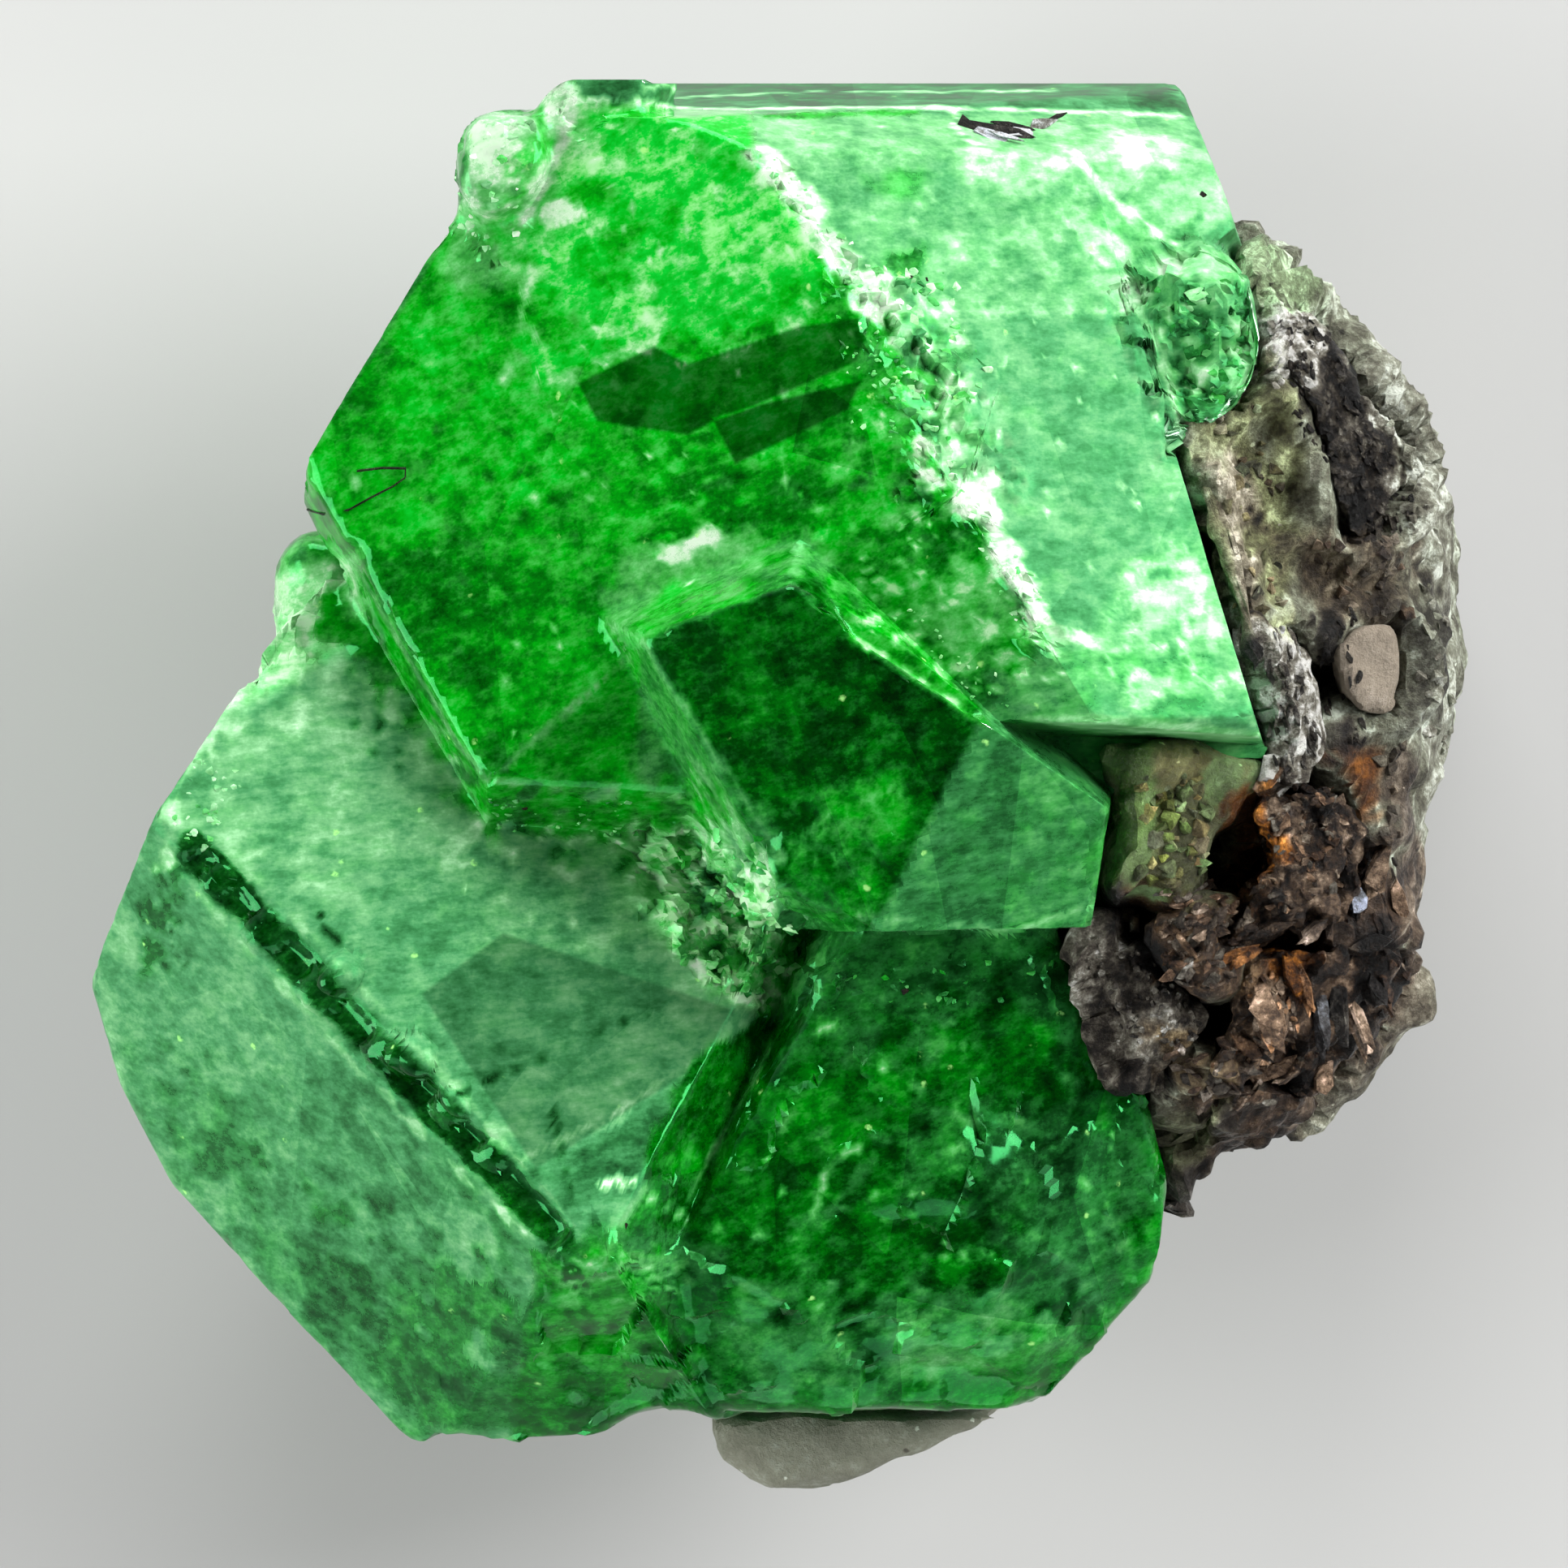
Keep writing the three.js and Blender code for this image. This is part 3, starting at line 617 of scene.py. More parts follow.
# Outlines, seen from above, of the garnets' main faces.
GREAT_FACE = [(-7.6, 4.1), (-3.8, 10.1), (-0.45, 10.05), (-0.4, 9.4), (1.1, 7.4), (2.4, 5.8), (2.2, 4.7),
              (3.0, 3.6), (3.9, 2.0), (3.0, 0.9), (1.0, 2.2), (0.5, 3.0), (-2.1, 2.1), (-2.2, -0.1),
              (-4.5, -0.2)]
PALE_FACE = [(-0.6, 10.9), (-0.4, 9.3), (1.1, 7.4), (2.4, 5.8), (2.2, 4.7), (3.0, 3.6), (3.84, 2.0),
             (2.9, 0.95), (5.0, 0.2), (7.5, 0.2), (7.5, 7.0), (6.3, 10.9)]
RHOMB = [(-2.1, 2.13), (0.46, 3.05), (0.99, 2.18), (2.86, 0.93), (1.24, -2.2), (-0.05, -1.5)]
APRON = [(2.84, 0.95), (4.95, 0.5), (4.4, -1.2), (4.8, -2.3), (1.24, -2.25)]
BODY = [(-4.4, -0.1), (-6.4, 2.6), (-11, 2.6), (-11, -11), (-4.2, -11), (-3.7, -7.1), (-2.4, -6.6),
        (-0.4, -3.6), (-0.2, -1.3), (-1.3, 0.0)]
SPUR = [(-9.4, -1.2), (-3.6, -6.9), (-4.2, -11), (-11, -11), (-11, -1.2)]
# How light and how milky the garnets are, area by area: an outline seen from above, light, milk, the
# softness of its border and how ragged it is. Later areas lie over earlier ones. The light levels are
# the garnets' colour zoning in part, and painted light in part: painted glow and highlights, and painted
# shade where the crystals reflect dark from within.
AREA_MARKS = [
    (GREAT_FACE, 0.52, 0.04, 0.05, 0.0),
    ([(-3.94, 8.04), (-3.21, 10.02), (-0.38, 10.31), (0.23, 8.57), (0.55, 7.1), (0.06, 6.67),
     (-1.5, 6.19), (-1.92, 6.51), (-3.74, 5.88), (-5.16, 6.37)], 0.77, 0.02, 0.05, 0.15),
    ([(-4.91, 7.7), (-3.94, 8.04), (-3.21, 7.06), (-3.94, 5.87), (-5.89, 6.62)], 0.62, 0.06, 0.3, 0.6),
    ([(-7.12, 4.81), (-5.1, 6.91), (-3.21, 5.98), (-3.33, 4.89), (-4.42, 3.94), (-6.51, 3.71)], 0.63,
     0.02, 0.4, 0.7),
    ([(-4.79, 7.7), (-3.94, 7.56), (-3.81, 6.95), (-4.42, 6.84), (-4.91, 7.21)], 0.5, 0.0, 0.15, 0.3),
    ([(-0.07, 7.61), (0.48, 7.6), (0.88, 6.52), (0.17, 6.41), (-0.31, 6.54)], 0.6, 0.0, 0.15, 0.4),
    ([(-3.06, 5.95), (-1.92, 6.48), (0.04, 6.66), (0.53, 7), (1.96, 6.28), (1.83, 4.83), (-0.07, 3.9),
     (-2.48, 3.92), (-3.2, 4.89)], 0.5, 0.02, 0.2, 0.6),
    ([(-6.51, 3.48), (-3.32, 3.32), (-2.21, 2.21), (-4.42, 0.07), (-5.15, 1.28)], 0.43, 0, 0.2, 0.4),
    ([(-6.01, 3.35), (-3.32, 3.32), (-3.45, 2.48), (-4.54, 2.13), (-5.4, 2.74)], 0.34, 0.0, 0.25, 0.5),
    ([(-2.24, 4.52), (0.41, 4.73), (0.64, 3.29), (-1.03, 3.19), (-2.48, 3.2)], 0.3, 0, 0.3, 0.6),
    ([(0.52, 3.29), (2.19, 4.47), (3.96, 2.08), (2.89, 1.14), (0.99, 2.2)], 0.36, 0.04, 0.25, 0.6),
    ([(2.19, 2.92), (3.37, 3.16), (3.96, 2.08), (3.84, 1.73), (2.54, 1.73), (1.83, 2.33)], 0.6, 0.3, 0.2,
     0.5),
    (PALE_FACE, 0.46, 0.86, 0.05, 0.0),
    ([(2.51, 6.99), (5.18, 7.05), (5.76, 5.76), (6.23, 4.08), (5.18, 3.29), (4.56, 2.09), (3.79, 2.2),
     (3.09, 3.69), (2.97, 4.84), (2.51, 6.29)], 0.41, 0.95, 0.06, 0.06),
    ([(2.96, 3.87), (4.34, 3.89), (4.56, 2.09), (3.79, 2.2)], 0.37, 0.95, 0.25, 0.3),
    ([(-0.31, 9.98), (6.23, 10.01), (6.41, 9.42), (-0.25, 9.23)], 0.6, 0.85, 0.15, 0.2),
    ([(4.46, 9.99), (6.23, 10.01), (6.7, 8.62), (6.13, 8.11), (5.28, 8.84)], 0.72, 0.98, 0.3, 0.5),
    ([(5, 9.73), (5.81, 9.83), (5.78, 9.16), (5.1, 9.21)], 0.95, 1.0, 0.2, 0.3),
    ([(1.13, 9.03), (2.1, 9.06), (2.1, 8.68), (1.25, 8.66)], 0.45, 0.4, 0.1, 0.3),
    ([(1.29, 7.95), (2.04, 7.97), (2.09, 7.57), (1.37, 7.56)], 0.4, 0.2, 0.1, 0.2),
    ([(2.46, 9.32), (4.43, 9.44), (4.36, 9.12), (2.58, 8.98)], 0.85, 0.95, 0.12, 0.3),
    ([(4.53, 8.43), (5.28, 8.71), (5.88, 7.97), (5.73, 7.44), (4.89, 7.57)], 0.48, 0.6, 0.15, 0.3),
    ([(3.79, 2.13), (4.59, 2.06), (4.54, 1.25), (3.83, 0.9), (2.95, 1.02), (3.13, 1.61)], 0.5, 0.55, 0.15,
     0.4),
    ([(4.6, 2.69), (5.06, 3.29), (5.67, 3.64), (6.35, 3.65), (6.65, 2.74), (6.72, 1.38), (6.23, 0.84),
     (5.19, 0.73), (4.66, 1.37)], 0.56, 0.8, 0.1, 0.3),
    ([(4.99, 3.05), (5.55, 3.42), (6.09, 3.3), (6.13, 2.46), (5.4, 2.21), (5.16, 2.45)], 0.84, 1.0, 0.12,
     0.5),
    ([(4.85, 1.79), (5.64, 2.09), (6.37, 1.98), (6.34, 1.02), (5.38, 0.84), (4.9, 1.26)], 0.44, 0.5, 0.12,
     0.4),
    ([(2.95, 1.02), (3.95, 1.37), (4.58, 0.79), (4.37, 0.31), (3.36, 0.37)], 0.5, 0.5, 0.15, 0.4),
    (TOP_STRIP, 0.17, 0.95, 0.05, 0.06),
    ([(-3.14, 10.57), (-1.59, 10.59), (-1.6, 10.24), (-3.13, 10.22)], 0.28, 0.8, 0.04, 0.05),
    ([(5.06, 7.18), (5.26, 7.71), (5.76, 8.03), (6.83, 8.07), (7.15, 6.62), (7.02, 5.89), (6.47, 5.28),
     (5.88, 5.51), (5.55, 6.36)], 0.6, 0.75, 0.1, 0.3),
    ([(5.33, 7.06), (5.84, 6.95), (5.78, 6.59), (5.44, 6.56)], 0.27, 0.3, 0.05, 0.15),
    ([(5.84, 7.07), (6.35, 7.01), (6.32, 6.35), (6.08, 6.23), (5.82, 6.47)], 0.24, 0.4, 0.05, 0.12),
    ([(5.73, 6.06), (6.2, 6.08), (6.24, 5.64), (5.87, 5.59)], 0.22, 0.3, 0.05, 0.1),
    ([(6.42, 7.1), (6.94, 6.84), (7.02, 6.19), (6.5, 6.23)], 0.46, 0.6, 0.06, 0.2),
    ([(5.51, 7.33), (5.84, 7.41), (5.86, 7.01), (5.6, 6.98)], 0.86, 0.95, 0.05, 0.2),
    ([(5.97, 7.61), (6.16, 7.61), (6.16, 7.41), (5.96, 7.41)], 0.95, 0.95, 0.04, 0.1),
    ([(6.01, 6.25), (6.44, 6.28), (6.42, 5.99), (6.06, 5.97)], 0.75, 0.8, 0.06, 0.2),
    ([(5.82, 5.56), (6.7, 5.9), (6.47, 4.92), (6.01, 4.92)], 0.55, 0.7, 0.12, 0.3),
    # The dark rhomb: painted shade, where the crystal reflects dark from within.
    (RHOMB, 0.2, 0.0, 0.04, 0.0),
    (SHELL_RIPPLES, 0.39, 0.04, 0.15, 0.4),
    (APRON, 0.36, 0.5, 0.05, 0.05),
    (BODY, 0.47, 0.92, 0.05, 0.0),
    ([(-8.07, 1.65), (-7.41, 2.4), (-6.44, 2.15), (-5.19, 0.8), (-4.44, -0.41), (-4.93, -1.38),
     (-6.48, -1.74), (-8.06, -1.86), (-9.09, -1.02)], 0.58, 0.95, 0.5, 0.7),
    ([(-3.23, -0.41), (-1.27, 0.07), (-0.19, -1.12), (-0.07, -2.61), (-1.29, -2.72), (-2.75, -1.99)],
     0.66, 0.75, 0.4, 0.7),
    ([(-1.78, -1.02), (-0.43, -1.49), (0.05, -2.61), (-0.07, -3.58), (-0.92, -3.32), (-1.65, -2.36)], 0.9,
     0.35, 0.2, 0.5),
    ([(-4.93, -1.14), (-2.99, -1.14), (-2.5, -2.35), (-4.19, -2.71), (-5.16, -1.99)], 0.53, 0.85, 0.3,
     0.6),
    ([(-3.67, -5.69), (-2.48, -4.75), (-1.52, -4.87), (-2, -5.94), (-3.31, -6.4)], 0.18, 0.8, 0.3, 0.3),
    (SPUR, 0.44, 0.97, 0.1, 0.0),
    ([(-9.86, -4.51), (-8.42, -4.59), (-3.91, -6.17), (-3.68, -7.14), (-3.75, -9.48), (-5.65, -9.86),
     (-8.07, -7.2)], 0.3, 0.5, 0.6, 0.9),
    ([(-8.14, -4.33), (-5.86, -4.75), (-4.91, -6.45), (-6.21, -7.79), (-7.85, -6.59)], 0.36, 0.85, 0.4,
     0.6),
    ([(-4.9, -6.2), (-4.41, -6.43), (-4.17, -7.17), (-4.81, -7.45), (-5.1, -6.84)], 0.5, 0.95, 0.06,
     0.15),
    ([(-6.08, -7.78), (-4.17, -7.17), (-3.83, -8.29), (-4, -9.75), (-5.77, -9.95)], 0.42, 0.3, 0.3, 0.5),
    ([(-1.46, -4.16), (-0.74, -3.69), (-0.07, -3.35), (-0.01, -4.16), (-0.8, -5.49), (-1.64, -6.45),
     (-2.12, -5.7)], 0.27, 0, 0.08, 0.15),
    (BROKEN_FOOT, 0.33, 0.02, 0.1, 0.1),
    ([(-0.07, -3.35), (1.86, -2.35), (4.26, -2.4), (4.16, -3.92), (1.62, -4.04), (0.29, -3.92)], 0.32,
     0.25, 0.3, 0.6),
    ([(2.22, -3.67), (3.19, -3.31), (3.92, -3.68), (4.05, -4.65), (2.83, -4.88), (2.22, -4.4)], 0.43, 0,
     0.15, 0.3),
    ([(-0.31, -4.89), (0.41, -4.28), (1.74, -4.64), (1.38, -6.22), (0.17, -6.58), (-0.44, -5.98)], 0.33,
     0, 0.25, 0.4),
    ([(1.62, -5.24), (2.83, -4.88), (3.56, -5.5), (2.83, -6.46), (1.74, -6.34)], 0.38, 0.2, 0.3, 0.5),
    ([(3.44, -4.89), (5.5, -5.02), (5.26, -7.68), (3.95, -8.46), (3.31, -6.7)], 0.24, 0.3, 0.4, 0.7),
    ([(-3.18, -6.75), (-2, -6.55), (-0.8, -6.94), (-1.16, -7.43), (-2.95, -7.25)], 0.36, 0.3, 0.15, 0.4),
    ([(-3.32, -7.51), (-0.8, -7.55), (2.23, -7.93), (1.63, -9.07), (-1.05, -8.95), (-3.63, -9.48)], 0.4,
     0.03, 0.2, 0.4),
    ([(-0.8, -7.68), (3.93, -7.58), (3.82, -8.45), (2.25, -9.21), (-0.81, -9.2)], 0.44, 0.35, 0.3, 0.6),
    ([(-4.72, 9.7), (-4.43, 10.03), (-3.66, 9.94), (-3.54, 9.45), (-3.75, 8.7), (-3.94, 8.29),
     (-4.55, 7.93), (-4.85, 8.06), (-4.76, 8.96)], 0.9, 0.92, 0.06, 0.1),
    ([(-3.65, 10.35), (-3.21, 10.57), (-3.06, 10.29), (-3.28, 9.48), (-3.56, 9.57)], 0.86, 0.9, 0.05,
     0.08),
    ([(-3.11, 10.22), (-2.01, 10.07), (-2.36, 9.64), (-2.97, 9.11), (-3.28, 9.24)], 0.84, 0.35, 0.12,
     0.3),
    ([(-2.9, 9.96), (-2.07, 9.98), (-2.24, 9.4), (-2.78, 9.35)], 0.66, 0, 0.1, 0.25),
    ([(-4.91, 8.54), (-3.94, 8.29), (-4.18, 7.69), (-4.91, 7.21), (-5.28, 7.71)], 0.66, 0.4, 0.15, 0.4),
    # The left bump is pale, and lightened more against the shade it lies in: partly painted light.
    (LEFT_BUMP, 0.9, 0.65, 0.1, 0.1),
    # The steep lower bevel of the pale face, lightened where it reflects the dark overhead: painted light.
    ([(3.4, 1), (4.72, 0.99), (7.2, 0.76), (7.26, 0.5), (5.28, 0.5), (4.02, 0.7)], 0.7, 0.75, 0.05, 0.0),
    ([(-3.99, 9.45), (-3.16, 9.84), (-3.21, 8.94), (-4.1, 7.73), (-4.43, 8.16)], 0.82, 0.15, 0.2, 0.2),
    (LOWER_SLIT, 0.46, 0.6, 0.08, 0.0),
    ([(-3.68, -7.08), (-2, -7.16), (-2.02, -8.67), (-3.97, -8.82)], 0.5, 0.1, 0.1, 0.5),
    ([(5.13, 7.46), (5.51, 7.87), (6.13, 8.11), (5.73, 7.44), (5.55, 6.84), (5.24, 6.84)], 0.42, 0.6,
     0.12, 0.9),
    ([(5.55, 6.36), (6.08, 6.35), (6.59, 5.64), (6.23, 5.22), (5.82, 5.6)], 0.28, 0.5, 0.06, 0.4),
]
# The same for lines: their points, light, milk, half width, softness and raggedness. Many of the pale
# lines, along rims and edges, are painted highlights.
LINE_MARKS = [
    ([(-6.57, 2.4), (-5.68, 1.66), (-4.91, 0.8), (-4.43, -0.23), (-3.23, -0.41), (-1.41, -0.29)], 0.56, 0,
     0.4, 0.25, 0.5),
    ([(-4.91, 2.49), (-1.99, 3.91)], 0.52, 0.1, 0.05, 0.1, 0.3),
    ([(-2.35, 2.59), (-1.99, 3.19), (-0.91, 3.31), (0.4, 3.29)], 0.52, 0.4, 0.3, 0.12, 0.3),
    ([(-1.63, 3.43), (-1.17, 3.73)], 0.92, 1.0, 0.16, 0.08, 0.2),
    ([(-3.4, 8.48), (-3.16, 8.52)], 1.0, 0.85, 0.22, 0.04, 0.05),
    ([(-3.15, 10.29), (-3.33, 9.48), (-3.76, 8.65), (-3.9, 8.38)], 0.95, 0.9, 0.09, 0.06, 0.1),
    ([(-4.4, 9.14), (-3.92, 9.44)], 0.98, 1.0, 0.05, 0.04, 0.05),
    ([(-3.75, 7.68), (-3.94, 6.89), (-3.59, 6.59)], 0.82, 0.5, 0.05, 0.05, 0.15),
    ([(-3.74, 5.88), (-1.92, 6.51)], 0.8, 0.4, 0.04, 0.06, 0.2),
    ([(-1.5, 6.19), (0.06, 6.67), (0.48, 7.04)], 0.78, 0.3, 0.04, 0.06, 0.2),
    ([(-5.4, 7.04), (-4.42, 6.48), (-3.45, 6.16)], 0.7, 0.3, 0.03, 0.04, 0.1),
    ([(-0.31, 9.24), (0.29, 8.7), (0.59, 7.97), (1, 7.55), (1.3, 7.25)], 0.97, 0.97, 0.22, 0.08, 0.25),
    ([(1, 7.42), (1.6, 7.07), (1.84, 6.65)], 0.92, 0.9, 0.2, 0.12, 0.35),
    ([(1.96, 6.77), (2.32, 6.29), (2.37, 5.68)], 0.5, 0.6, 0.25, 0.15, 0.4),
    ([(2.19, 5.49), (1.99, 4.83), (2.19, 4.4), (2.66, 4.32), (3.08, 4.5)], 0.85, 0.85, 0.12, 0.07, 0.2),
    ([(2.19, 5.31), (2.49, 5.07), (2.97, 5.08)], 0.33, 0.5, 0.12, 0.06, 0.15),
    ([(2.63, 4.29), (3.04, 3.81), (3.37, 3.1), (3.63, 2.68), (3.84, 2.18)], 0.93, 0.95, 0.2, 0.08, 0.25),
    ([(3.79, 2.13), (4.59, 2.06)], 0.88, 0.95, 0.07, 0.05, 0.15),
    ([(4.36, 9.45), (4.91, 8.76), (5.85, 8.1)], 0.95, 0.98, 0.06, 0.05, 0.12),
    ([(4.01, 8.6), (4.53, 8.06), (5.15, 7.46)], 0.86, 0.95, 0.06, 0.05, 0.15),
    ([(2.52, 6.99), (3.17, 6.97), (5.12, 7.03)], 0.72, 0.9, 0.03, 0.03, 0.08),
    ([(5.16, 7.44), (5.61, 6.36), (6.11, 4.43), (6.47, 3.47), (6.83, 1.14)], 0.8, 0.9, 0.06, 0.06, 0.12),
    ([(-0.25, 9.94), (2, 10.08)], 0.48, 0.0, 0.05, 0.03, 0.04),
    ([(-3.15, 10.17), (-0.8, 10.11), (2.86, 10.17), (6.11, 10.15)], 0.95, 0.95, 0.035, 0.03, 0.03),
    ([(-2.48, 10.34), (0.42, 10.58), (4.15, 10.6)], 0.75, 0.9, 0.02, 0.02, 0.06),
    ([(2.59, 10.12), (2.55, 9.86), (2.72, 9.63), (2.96, 9.5)], 1.0, 1.0, 0.03, 0.02, 0.02),
    ([(5.17, 2.75), (5.03, 1.97), (5.39, 1.38), (6.11, 1.38)], 0.85, 0.9, 0.05, 0.05, 0.2),
    ([(4.81, 2.69), (4.7, 1.97), (4.9, 1.14)], 0.8, 0.9, 0.04, 0.04, 0.15),
    ([(0.97, 2.17), (2.86, 0.92)], 0.52, 0.1, 0.09, 0.03, 0.04),
    ([(1.11, 2.08), (2.53, 1.16)], 0.85, 0.5, 0.03, 0.03, 0.12),
    ([(-2.07, 2.09), (-1.02, 0.43), (-0.01, -1.12)], 0.5, 0.55, 0.04, 0.03, 0.05),
    ([(-1.97, 2.21), (-1.26, 2.63), (0.4, 3.04)], 0.5, 0.2, 0.05, 0.03, 0.08),
    # A pale line along the great face's left rim: painted highlight.
    ([(-6.39, 3.23), (-4.92, 0.68), (-4.42, 0.05), (-3.81, 0.01)], 0.62, 0.6, 0.04, 0.03, 0.05),
    ([(-4.17, 0.25), (-2.09, 2.04)], 0.56, 0.5, 0.035, 0.03, 0.05),
    ([(-8.84, -0.96), (-3.31, -6.71)], 0.2, 0.1, 0.26, 0.06, 0.1),
    # Pale lines along both sides of the groove: painted highlights.
    ([(-8.48, -0.77), (-6.83, -2.46), (-4.88, -4.5), (-3.19, -6.4)], 0.66, 0.9, 0.04, 0.04, 0.12),
    ([(-8.98, -1.38), (-7.32, -3.19), (-5.37, -5.23), (-3.67, -6.77)], 0.7, 0.9, 0.04, 0.04, 0.14),
    ([(-9.09, -1.14), (-9.5, -2.62)], 0.3, 0.3, 0.16, 0.1, 0.4),
    ([(0.11, -3.39), (-1.4, -6.1)], 0.58, 0.5, 0.03, 0.03, 0.04),
    ([(-2.71, -5.93), (-2.23, -5.87), (-2, -6.12)], 0.97, 0.9, 0.05, 0.03, 0.05),
    ([(-2, -6.12), (-1.4, -6.53)], 0.85, 0.7, 0.03, 0.03, 0.05),
    ([(-7.02, -1.74), (-6.84, -2.1), (-6.59, -2.34)], 0.12, 0.4, 0.03, 0.02, 0.05),
    ([(-4.88, -4.61), (-3.21, -3.91), (-1.77, -3.32)], 0.16, 0.4, 0.02, 0.02, 0.05),
    ([(-3.44, -4.74), (-3.07, -6.4)], 0.15, 0.4, 0.02, 0.02, 0.08),
    ([(-3.91, -5.57), (-2.48, -4.87), (-1.4, -4.16)], 0.7, 0.95, 0.03, 0.03, 0.06),
    # A pale line along the left rim: painted highlight.
    ([(-8.19, 1.41), (-8.98, 0.07), (-9.22, -1.14)], 0.9, 0.95, 0.1, 0.1, 0.3),
    ([(0.41, -6.46), (0.65, -5.73), (1.14, -5.37)], 0.75, 0.6, 0.04, 0.04, 0.1),
    ([(0.53, -6.7), (0.9, -6.1), (0.96, -5.86)], 0.68, 0.4, 0.05, 0.04, 0.1),
    ([(1.86, -4.4), (2.58, -5), (3.56, -5.02)], 0.6, 0.5, 0.04, 0.04, 0.12),
    ([(-3.31, -7.25), (-2.47, -6.94), (-1.65, -7.07)], 0.6, 0.4, 0.04, 0.05, 0.15),
    ([(-2.47, -7.13), (-1.4, -7.13), (-0.31, -7.55)], 0.5, 0.5, 0.07, 0.06, 0.15),
    ([(1.12, -1.95), (3.43, -2.16), (4.35, -1.84)], 0.62, 0.75, 0.03, 0.03, 0.08),
]
# Crisp dark windows into the depth of the clear and of the milky crystals, with how much light they keep:
# painted shade, where the crystals reflect dark from within.
CLEAR_WINDOWS = [
    ([(-3.06, 5.95), (-1.92, 6.48), (-1.39, 6.2), (-1.03, 5.37), (-1.42, 5.16), (-2.77, 5.38)], 0.27),
    ([(-1.5, 6.19), (0.23, 6.74), (1.3, 6.88), (1, 5.98), (-0.45, 5.57), (-1.42, 5.16), (-1.75, 5.6)],
     0.3),
    ([(-1.04, 5.36), (-0.35, 5.6), (1.14, 5.93), (0.93, 5.5), (-0.72, 4.72)], 0.22),
]
MILKY_WINDOWS = [
    ([(-5.38, -3.12), (-4.19, -2.23), (-0.74, -3.38), (-1.18, -4.14), (-3.67, -5.69)], 0.5),
]
# Places, seen from above, where more than one kind of fleck is strewn.
GREAT_HEAD = [(-3.68, 9.81), (-0.43, 9.84), (0.41, 7.12), (-1.99, 6.56), (-4.91, 6.49)]
GREAT_MIDDLE = [(-5.89, 5.89), (-3.21, 5.98), (0.41, 4.85), (1.6, 3.17), (-1.99, 3.43), (-5.4, 3.7)]
PALE_SKIN = [(-0.07, 9.85), (6.23, 9.89), (6.98, 1.29), (3.95, 1.02), (2.55, 4.83), (1.37, 7.62)]
BROKEN_GARNET = [(-0.07, -3.46), (4.04, -2.59), (5.52, -5.28), (5.06, -8), (1.63, -8.94), (-3.24, -8.95),
                 (-3.19, -7.12), (-0.44, -6.46)]
